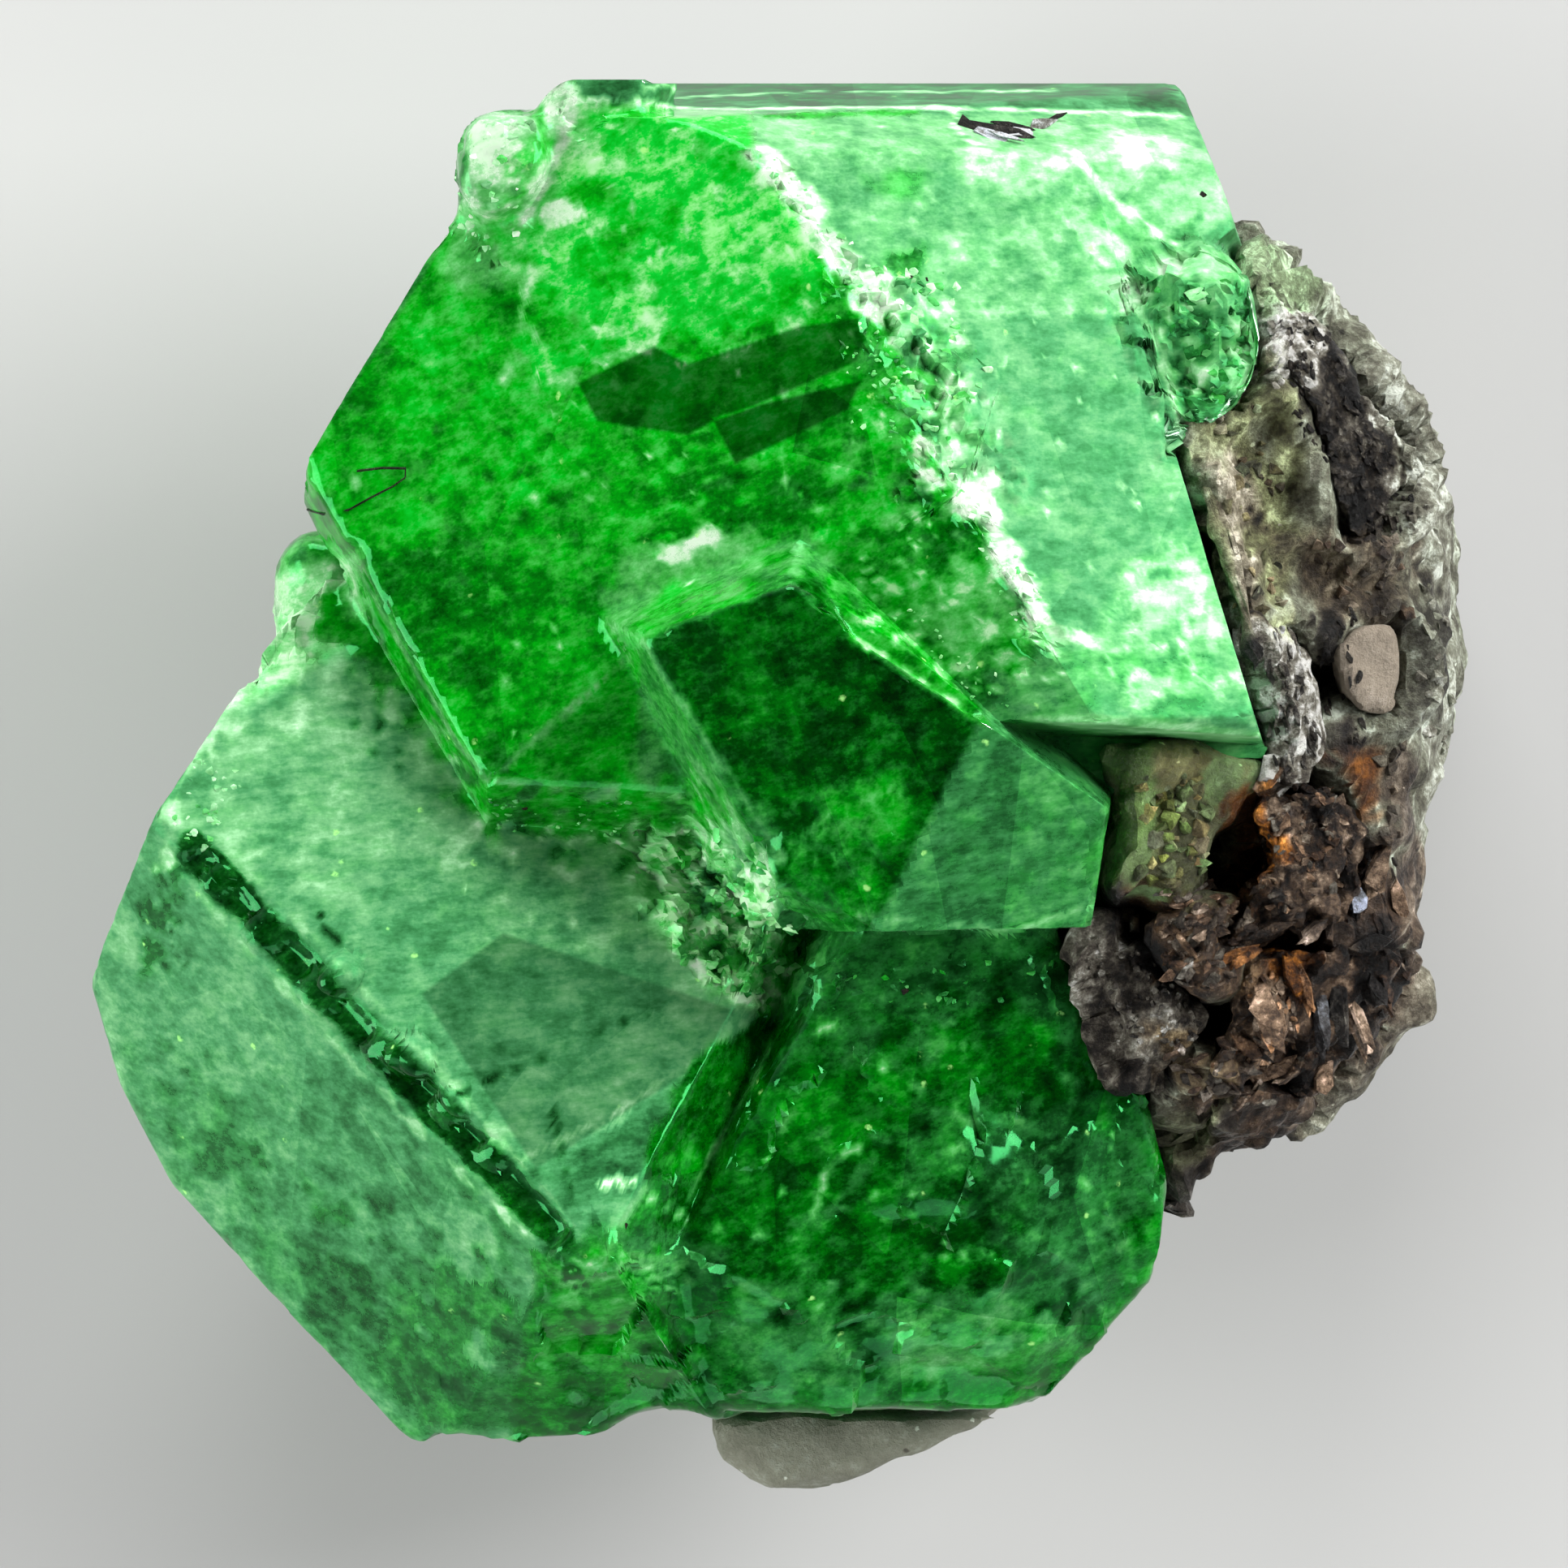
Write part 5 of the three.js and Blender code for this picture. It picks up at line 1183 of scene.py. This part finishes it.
# Dips of the crust, seen from above, that its skin fills.
CRUST_GAP = [(6.78, 7.96), (7.21, 7.84), (7.7, 6.93), (7.7, 6.02), (7.21, 5.41), (6.12, 4.93),
             (5.87, 5.23), (6.48, 5.53), (6.97, 6.38)]
CRUST_SLIT = [(5.57, 6.02), (5.81, 5.41), (6.02, 4.68), (6.23, 3.95), (6.45, 3.23), (6.66, 2.5),
              (6.86, 1.77), (7.06, 1.04), (7.2, 0.62), (7.6, 0.74), (7.47, 1.41), (7.24, 2.26),
              (7.06, 3.1), (6.82, 3.95), (6.58, 4.8), (6.33, 5.47), (5.93, 6.08)]
CRUST_HOLE = [(6.35, -0.23), (7.27, -0.11), (7.39, -1.03), (6.97, -1.7), (6.23, -1.52)]
# The steps of the skins' meshes, and how far the filled slit lies below the pale face.
COARSE_STEP = 0.13
FINE_STEP = 0.085
SEAM_DEPTH = 0.35


def build_stone(mineral, seed):
    """One piece of the matrix. Returns its points and triangles."""
    slot, change = MINERALS[mineral][0], MINERALS[mineral][4]
    coarse = mineral in ("gneiss_crust", "calcite_wedge")
    points, faces = even_mesh(mineral, COARSE_STEP if coarse else FINE_STEP)
    if mineral != "calcite_wedge":
        points = close_gaps(points, faces, mineral)
    if mineral == "gneiss_crust":
        fill(points, CRUST_GAP, 9.8, 0.12, normals_of(points, faces))
        fill(points, CRUST_SLIT, pale_plane(points) - SEAM_DEPTH, 0.12, normals_of(points, faces), 2)
        fill(points, CRUST_HOLE, 9.7, 0.15, normals_of(points, faces))
    if mineral == "quartz_grain":
        points = soften(points, faces, 5)
    normals = normals_of(points, faces)
    shake = swirl(points, 0.6, 4, seed)
    height = 0.05 * shake
    for layer, (size, tilt, depth, stretch) in enumerate(RELIEFS[slot]):
        height += broken_relief(points, size, tilt, depth, seed * 7 + layer, stretch, 0.35 * depth)
    notes = paint_stone(points, mineral, shake)
    _, own, _ = grains(points, RELIEFS[slot][1][0], seed * 7 + 1, RELIEFS[slot][1][3])
    notes["tone"] = np.clip(notes["tone"] + change * (own[:, 1] - 0.5), 0, 1)
    points = points + normals * height[:, None]
    points = soften(points, faces, 2 if slot in ("gneiss", "quartz") else 1)
    points[:, 2] = np.maximum(points[:, 2], 0)
    piece = make_piece(mineral + "_stone", points, faces, mineral, notes, 25)
    piece.data.materials.append(MATERIALS[mineral])
    return points, faces


# ---------- leaves, chips and specks on the matrix ----------

# Shapes are laid down from this height, on ground that is no lower and no steeper than this.
HIGH_ABOVE = 20
LOWEST_GROUND = 5
STEEPEST_GROUND = 0.4
# Single blades of mica and graphite in the lower book: middle x and y, length, width, way of the long
# side in degrees, lean to the side in degrees, tone, rust and blue.
BLADES = [(8.06, -3.5, 1.6, 0.3, 93, 25, 0.45, 0.0, 0.45),
          (8.32, -3.4, 1.4, 0.28, 98, -20, 0.12, 0.0, 0.1),
          (8.58, -3.62, 1.3, 0.3, 112, 30, 0.72, 0.25, 0.0),
          (8.84, -3.12, 0.7, 0.26, 115, 10, 0.25, 0.0, 0.3),
          (9.04, -3.05, 0.9, 0.2, 112, 35, 0.2, 0.5, 0.0),
          (7.2, -3.4, 1.3, 0.55, 118, 12, 0.55, 0.3, 0.0),
          (7.56, -2.85, 0.9, 0.3, 112, 20, 0.5, 1.0, 0.0),
          (7.75, -3.0, 1.0, 0.18, 106, -30, 0.6, 0.6, 0.0),
          (7.0, -2.38, 1.5, 0.26, 18, 30, 0.55, 0.35, 0.0),
          (7.2, -2.15, 1.5, 0.2, 20, -25, 0.3, 0.2, 0.0), (6.7, -2.62, 1.0, 0.22, 24, 30, 0.5, 0.8, 0.0),
          (5.95, -2.35, 1.0, 0.14, -52, 30, 0.5, 0.3, 0.0),
          (8.5, -1.85, 0.6, 0.3, 80, 10, 0.75, 0.0, 0.5), (8.9, -1.3, 1.0, 0.45, 70, 15, 0.6, 0.25, 0.0),
          (9.15, -1.8, 0.9, 0.35, 100, -15, 0.62, 0.3, 0.0),
          (8.7, -2.35, 0.9, 0.4, 20, -20, 0.1, 0.1, 0.0), (8.08, -4.45, 0.6, 0.4, 60, 15, 0.62, 0.3, 0.0),
          (7.3, -4.35, 1.1, 0.3, 30, 20, 0.5, 0.3, 0.0), (6.9, -3.9, 0.9, 0.3, -30, -20, 0.25, 0.4, 0.0),
          (7.9, -2.2, 0.8, 0.25, 40, 20, 0.6, 0.2, 0.1)]
# Strewn leaves: an outline, how many, their least and greatest length, slimness, way, its spread, lean,
# least and greatest tone, rust and blue.
STREWN_LEAVES = [
    ([(7.15, 0.0), (8.3, 0.1), (8.4, -1.5), (7.3, -1.9), (6.5, -2.3), (6.4, -1.9), (7.1, -1.4)], 150,
     (0.12, 0.34), 0.6, 60, 90, 30, (0.25, 0.66), 0.2, 0.0),
    ([(6.9, -2.8), (7.6, -2.9), (7.7, -4.0), (7.0, -4.1)], 60, (0.12, 0.3), 0.5, 118, 35, 25,
     (0.35, 0.75), 0.3, 0.0),
    ([(6.4, -4.0), (8.3, -4.0), (8.0, -4.8), (6.5, -4.7)], 50, (0.15, 0.4), 0.4, 25, 50, 25, (0.3, 0.7),
     0.3, 0.0),
    ([(8.4, -0.9), (9.3, -0.9), (9.0, -2.6), (8.5, -2.6)], 40, (0.15, 0.4), 0.4, 85, 40, 30, (0.08, 0.6),
     0.2, 0.15),
    ([(7.4, 6.9), (8.0, 6.9), (9.6, 4.0), (8.8, 3.5), (7.6, 5.4)], 170, (0.1, 0.3), 0.45, -58, 30, 25,
     (0.05, 0.42), 0.0, 0.05),
    ([(7.1, 2.3), (7.7, 2.2), (8.0, 0.1), (7.2, 0.1)], 60, (0.15, 0.45), 0.3, -80, 20, 25, (0.3, 0.75),
     0.0, 0.1),
    ([(7.9, 2.6), (8.5, 2.6), (8.7, 0.6), (8.1, 0.5)], 30, (0.12, 0.3), 0.4, -80, 30, 30, (0.05, 0.3),
     0.0, 0.0),
    ([(4.3, -2.3), (5.2, -2.2), (6.3, -3.7), (5.3, -4.2)], 130, (0.06, 0.16), 0.8, 0, 180, 30,
     (0.25, 0.65), 0.0, 0.05),
    ([(5.4, -1.6), (6.6, -1.4), (7.0, -2.3), (6.6, -3.1), (5.7, -2.9)], 120, (0.2, 0.5), 0.45, 25, 50, 30,
     (0.25, 0.7), 0.2, 0.05),
    ([(5.7, -3.9), (6.9, -3.8), (7.2, -4.7), (6.1, -4.9)], 50, (0.2, 0.45), 0.5, 10, 60, 30, (0.3, 0.7),
     0.15, 0.05),
]
# Chips of quartz and feldspar: an outline, how many, least and greatest size, tone, green, rust.
CHIPS = [
    ([(7.15, 6.9), (7.9, 7.0), (8.0, 6.1), (7.3, 5.9)], 40, (0.08, 0.24), (0.7, 1.0), 0.0, 0.0),
    ([(5.5, 0.1), (6.35, 0.2), (6.4, -2.0), (5.6, -2.1)], 25, (0.12, 0.3), (0.45, 0.75), 0.6, 0.2),
    ([(6.2, 5.4), (7.3, 5.8), (7.6, 2.6), (6.6, 2.6)], 50, (0.12, 0.35), (0.4, 0.75), 0.35, 0.15),
    ([(8.9, 6.0), (10.3, 3.2), (10.3, 0.0), (9.5, 0.0), (9.6, 3.0)], 60, (0.12, 0.35), (0.6, 0.85), 0.1,
     0.0),
    ([(7.7, 3.8), (9.2, 3.8), (9.4, 2.5), (8.4, 2.6)], 40, (0.12, 0.3), (0.25, 0.6), 0.05, 0.15),
    ([(8.9, 0.6), (9.6, 0.6), (9.6, -1.0), (9.0, -1.0)], 20, (0.15, 0.35), (0.35, 0.65), 0.05, 0.1),
    ([(8.6, -3.4), (9.4, -1.6), (9.5, -3.0), (8.9, -4.0)], 14, (0.1, 0.25), (0.05, 0.35), 0.0, 0.5),
    ([(5.2, 0.0), (6.3, 0.1), (6.3, -1.5), (5.2, -1.6)], 45, (0.15, 0.42), (0.5, 0.85), 0.7, 0.25),
]


def leaf(way, lean, pitch, length, width, thick, rng):
    """A thin plate with ragged ends, as points about its middle, and its faces."""
    count = int(rng.integers(5, 8))
    angles = np.sort((np.arange(count) + rng.uniform(-0.35, 0.35, count)) * 2 * np.pi / count)
    reach = rng.uniform(0.6, 1.1, count)
    flat = np.stack([np.cos(angles) * reach * length / 2, np.sin(angles) * reach * width / 2], axis=1)
    bow = rng.uniform(-0.15, 0.15) * (flat[:, 0] / length) ** 2 * length
    top = np.column_stack([flat * 0.93, bow + thick / 2])
    bottom = np.column_stack([flat, bow - thick / 2])
    points = np.concatenate([top, bottom, [[0, 0, thick / 2]], [[0, 0, -thick / 2]]])
    faces = []
    for i in range(count):
        j = (i + 1) % count
        faces += [(i, j, 2 * count), (count + j, count + i, 2 * count + 1), (i, count + i, j)]
        faces += [(j, count + i, count + j)]
    return turned(points, way, lean, pitch), faces


def chip(size, rng):
    """A small angular stone."""
    work = bmesh.new()
    for _ in range(12):
        spot = rng.normal(size=3)
        spot *= size / 2 / np.linalg.norm(spot) * rng.uniform(0.8, 1.15)
        work.verts.new(spot)
    hull = bmesh.ops.convex_hull(work, input=work.verts)
    bmesh.ops.delete(work, geom=[g for g in hull["geom_interior"] if isinstance(g, bmesh.types.BMVert)],
                     context="VERTS")
    bmesh.ops.triangulate(work, faces=work.faces)
    work.verts.index_update()
    points = np.array([v.co[:] for v in work.verts])
    faces = [tuple(v.index for v in f.verts) for f in work.faces]
    work.free()
    return points, faces


def turned(points, way, lean, pitch):
    """Points leaned about their long side, pitched, then turned to their way, in degrees."""
    for angle, (a, b) in ((lean, (1, 2)), (pitch, (0, 2)), (way, (0, 1))):
        c, s = math.cos(math.radians(angle)), math.sin(math.radians(angle))
        points = points.copy()
        first, second = points[:, a].copy(), points[:, b].copy()
        points[:, a] = c * first - s * second
        points[:, b] = s * first + c * second
    return points


def spots_in(outline, count, rng):
    """Places strewn in an outline seen from above."""
    low, high = np.min(outline, axis=0), np.max(outline, axis=0)
    spots = rng.uniform(low, high, (count * 6, 2))
    return spots[depth_inside(spots, outline) > 0][:count]


def below(ground, x, y):
    """Where a line straight down meets the ground, and its normal there."""
    return ground.ray_cast(Vector((x, y, HIGH_ABOVE)), Vector((0, 0, -1)))[:2]


def lay(parts, ground, spot, shape, sink, levels):
    """Adds a shape to the parts, laid on the ground at a spot seen from above."""
    hit, normal = below(ground, *spot)
    if hit is None or hit.z < LOWEST_GROUND or normal.z < STEEPEST_GROUND:
        return
    points, faces = shape
    turn = Vector((0, 0, 1)).rotation_difference((normal + Vector((0, 0, 1.2))).normalized()).to_matrix()
    points = points @ np.array(turn).T + np.array(hit) - sink * np.array(normal)
    start = sum(len(p) for p, _, _ in parts)
    parts.append((points, np.array(faces) + start, np.tile(levels, (len(points), 1))))


def join(name, parts, material, labels=("tone", "green", "rust", "blue")):
    """One piece from laid shapes, with the levels noted at their points."""
    points = np.concatenate([p for p, _, _ in parts])
    faces = np.concatenate([f for _, f, _ in parts])
    levels = np.concatenate([n for _, _, n in parts]).T
    piece = make_piece(name, points, faces, None, dict(zip(labels, levels)), 20)
    piece.data.materials.append(material)
    return piece


# Chips of garnet where its skin is broken: an outline, how many, least and greatest size, light and milk.
# The pale chips are partly painted sparkle.
GARNET_CHIPS = [
    ([(-0.5, 9.4), (0.0, 9.2), (1.4, 7.5), (1.9, 7.0), (1.4, 6.8), (0.8, 7.3)], 60, (0.05, 0.16),
     (0.7, 1.0), 0.8),
    ([(1.3, 7.6), (2.6, 7.6), (3.0, 6.0), (2.4, 5.0), (1.6, 5.6)], 90, (0.06, 0.26), (0.3, 1.0), 0.55),
    ([(2.2, 4.8), (2.6, 4.8), (4.0, 2.4), (3.5, 2.0)], 50, (0.05, 0.16), (0.7, 1.0), 0.8),
    ([(-2.2, -0.6), (-0.3, -0.8), (0.4, -2.4), (-0.1, -3.4), (-1.9, -2.6)], 110, (0.06, 0.3), (0.4, 1.0),
     0.35),
    ([(5.3, 7.3), (6.6, 7.6), (7.1, 6.2), (6.3, 5.0)], 60, (0.08, 0.3), (0.2, 0.9), 0.5),
    ([(0.9, 2.6), (1.8, 2.6), (3.4, 1.4), (3.2, 0.9)], 35, (0.04, 0.1), (0.6, 1.0), 0.4),
    ([(0.8, 6.9), (1.6, 6.6), (1.9, 5.0), (1.0, 5.2)], 40, (0.04, 0.14), (0.5, 1.0), 0.4),
    ([(-4.6, -0.2), (-2.2, -0.2), (-2.2, -0.9), (-4.6, -0.7)], 40, (0.04, 0.14), (0.4, 0.9), 0.5),
    ([(-8.9, 0.4), (-8.0, 0.2), (-8.6, -1.0), (-9.3, -0.6)], 40, (0.06, 0.2), (0.5, 1.0), 0.8),
    ([(-5.2, 9.4), (-4.0, 9.8), (-3.9, 8.0), (-5.0, 7.8)], 40, (0.06, 0.2), (0.6, 1.0), 0.8),
    ([(0.4, -2.6), (4.2, -2.5), (4.2, -3.2), (0.6, -3.4)], 40, (0.05, 0.18), (0.2, 0.7), 0.3),
]
# Dark specks on the garnets: middle x and y, and size.
DARK_SPECKS = [(6.27, 8.86, 0.2), (7.03, 7.0, 0.16), (-3.86, -0.35, 0.16), (-3.8, -0.42, 0.1),
               (1.8, -3.09, 0.2), (2.0, -3.05, 0.14), (-1.54, 6.82, 0.12), (1.85, 7.47, 0.18),
               (2.1, 7.45, 0.14), (-2.35, -6.53, 0.16), (4.65, -1.42, 0.22), (4.6, -4.15, 0.14)]


# Flakes let into the pale face, as BLADES, dark and silvery-white: partly painted reflection of a
# shell-shaped chip. And a hair of lint: its points.
SHELL_REFLECTION_FLAKES = [(3.19, 9.79, 1.45, 0.5, -14, 0, 0.15, 0.0, 0.2),
                 (2.75, 9.85, 0.7, 0.4, -50, 6, 0.05, 0.0, 0.1),
                 (3.11, 9.71, 0.8, 0.26, -24, -8, 0.95, 0.0, 0.25),
                 (3.44, 9.85, 0.8, 0.12, -12, 8, 0.1, 0.0, 0.2),
                 (3.53, 9.74, 0.7, 0.2, 4, -8, 1, 0.0, 0.15),
                 (3.88, 9.89, 0.55, 0.24, 22, 8, 0.7, 0.0, 0.15),
                 (4.09, 10.01, 0.4, 0.12, 30, -10, 0.08, 0.0, 0),
                 (3.31, 9.65, 0.7, 0.1, -18, 0, 0.85, 0.0, 0.2)]
LINT_HAIR = [(-7.21, 4.15), (-6.92, 4.05), (-6.51, 4.1), (-6.16, 4.29), (-5.85, 4.44), (-5.65, 4.58),
             (-5.65, 4.71), (-6.01, 4.72), (-6.38, 4.68)]


def build_lint(ground):
    """A thin hair that lies on the great face."""
    points, faces = [], []
    for i, (x, y) in enumerate(LINT_HAIR):
        hit, _ = below(ground, x, y)
        foot, top = hit.z + 0.03, hit.z + 0.07
        points += [(x, y - 0.02, foot), (x + 0.01, y + 0.02, foot), (x - 0.01, y, top)]
        if i:
            ring = 3 * i
            for a, b in ((0, 1), (1, 2), (2, 0)):
                faces += [(ring - 3 + a, ring - 3 + b, ring + b), (ring - 3 + a, ring + b, ring + a)]
    last = len(points)
    faces += [(0, 2, 1), (last - 3, last - 2, last - 1)]
    join("lint_hair", [(np.array(points), np.array(faces), np.tile((0.12, 0.2, 0, 0), (last, 1)))],
         MATERIALS["graphite_foot"])


def build_garnet_chips(ground):
    """Chips, specks, flakes of partly painted silvery reflection and a hair on the garnets."""
    rng = np.random.default_rng(11)
    chips, specks = [], []
    for outline, count, sizes, lights, milk in GARNET_CHIPS:
        for spot in spots_in(outline, count, rng):
            size = rng.uniform(*sizes)
            points, faces = chip(size, rng)
            points = points * (1.2, 1.0, 0.45)
            levels = (rng.uniform(*lights), min(milk * rng.uniform(0.5, 1.5), 1), 0, 0)
            lay(chips, ground, spot, (points, faces), 0.1 * size, levels)
    for x, y, size in DARK_SPECKS:
        points, faces = chip(size, rng)
        lay(specks, ground, (x, y), (points * (1.1, 0.8, 0.35), faces), 0.02, (0.1, 0, 0.4, 0))
    flakes = []
    for x, y, length, width, way, lean, tone, rust, blue in SHELL_REFLECTION_FLAKES:
        raised = -0.01 * len(flakes)
        shape = leaf(way, lean, 0, length, width, 0.03, rng)
        lay(flakes, ground, (x, y), shape, raised, (tone, 0, rust, blue))
    join("shell_reflection_flakes", flakes, MATERIALS["graphite_blade"])
    build_lint(ground)
    join("garnet_chips", chips, bpy.data.materials["garnet_milky"],
         ("light", "milk", "green", "rust"))
    join("dark_specks", specks, MATERIALS["graphite_foot"])


def build_leaves(ground):
    """Leaves of mica and graphite and chips of quartz on the matrix."""
    rng = np.random.default_rng(7)
    books, flakes, grit = [], [], []
    for x, y, length, width, way, lean, tone, rust, blue in BLADES:
        for layer in range(3):
            spot = (x + rng.normal(0, 0.03), y + rng.normal(0, 0.03))
            shape = leaf(way + rng.normal(0, 2), lean, rng.normal(0, 3), length * (1 - 0.08 * layer), width,
                         0.05, rng)
            levels = (min(max(tone + rng.normal(0, 0.06), 0), 1), 0, rust, blue)
            lay(books, ground, spot, shape, 0.02 - 0.07 * layer, levels)
    for outline, count, sizes, slim, way, spread, lean, tones, rust, blue in STREWN_LEAVES:
        graphite = rust == 0.0
        for spot in spots_in(outline, count, rng):
            length = rng.uniform(*sizes)
            shape = leaf(way + rng.uniform(-spread, spread), rng.normal(0, lean), rng.normal(0, 12), length,
                         length * slim * rng.uniform(0.7, 1.3), 0.03 + 0.05 * length, rng)
            levels = (rng.uniform(*tones), 0, rust * rng.uniform(0, 2), blue * rng.uniform(0, 2))
            lay(flakes if graphite else books, ground, spot, shape, rng.uniform(-0.03, 0.03), levels)
    for outline, count, sizes, tones, green, rust in CHIPS:
        for spot in spots_in(outline, count, rng):
            size = rng.uniform(*sizes)
            levels = (rng.uniform(*tones), green * rng.uniform(0.3, 1.5), rust * rng.uniform(0, 2), 0)
            lay(grit, ground, spot, chip(size, rng), 0.15 * size, levels)
    join("mica_leaves", books, MATERIALS["upper_mica_book"])
    join("graphite_scales", flakes, MATERIALS["graphite_blade"])
    join("quartz_chips", grit, MATERIALS["gneiss_crust"])


def build_matrix():
    """The minerals of the matrix, and what lies on them."""
    laid = [build_stone(mineral, seed) for seed, mineral in enumerate(MINERALS)]
    starts = np.cumsum([0] + [len(p) for p, _ in laid])
    points = np.concatenate([p for p, _ in laid]).tolist()
    faces = np.concatenate([f + start for (_, f), start in zip(laid, starts)]).tolist()
    build_leaves(BVHTree.FromPolygons(points, faces))


set_camera()
set_stage()
MATERIALS = {mineral: stone_material(mineral) for mineral in MINERALS}
build_garnet_chips(build_garnets())
build_matrix()
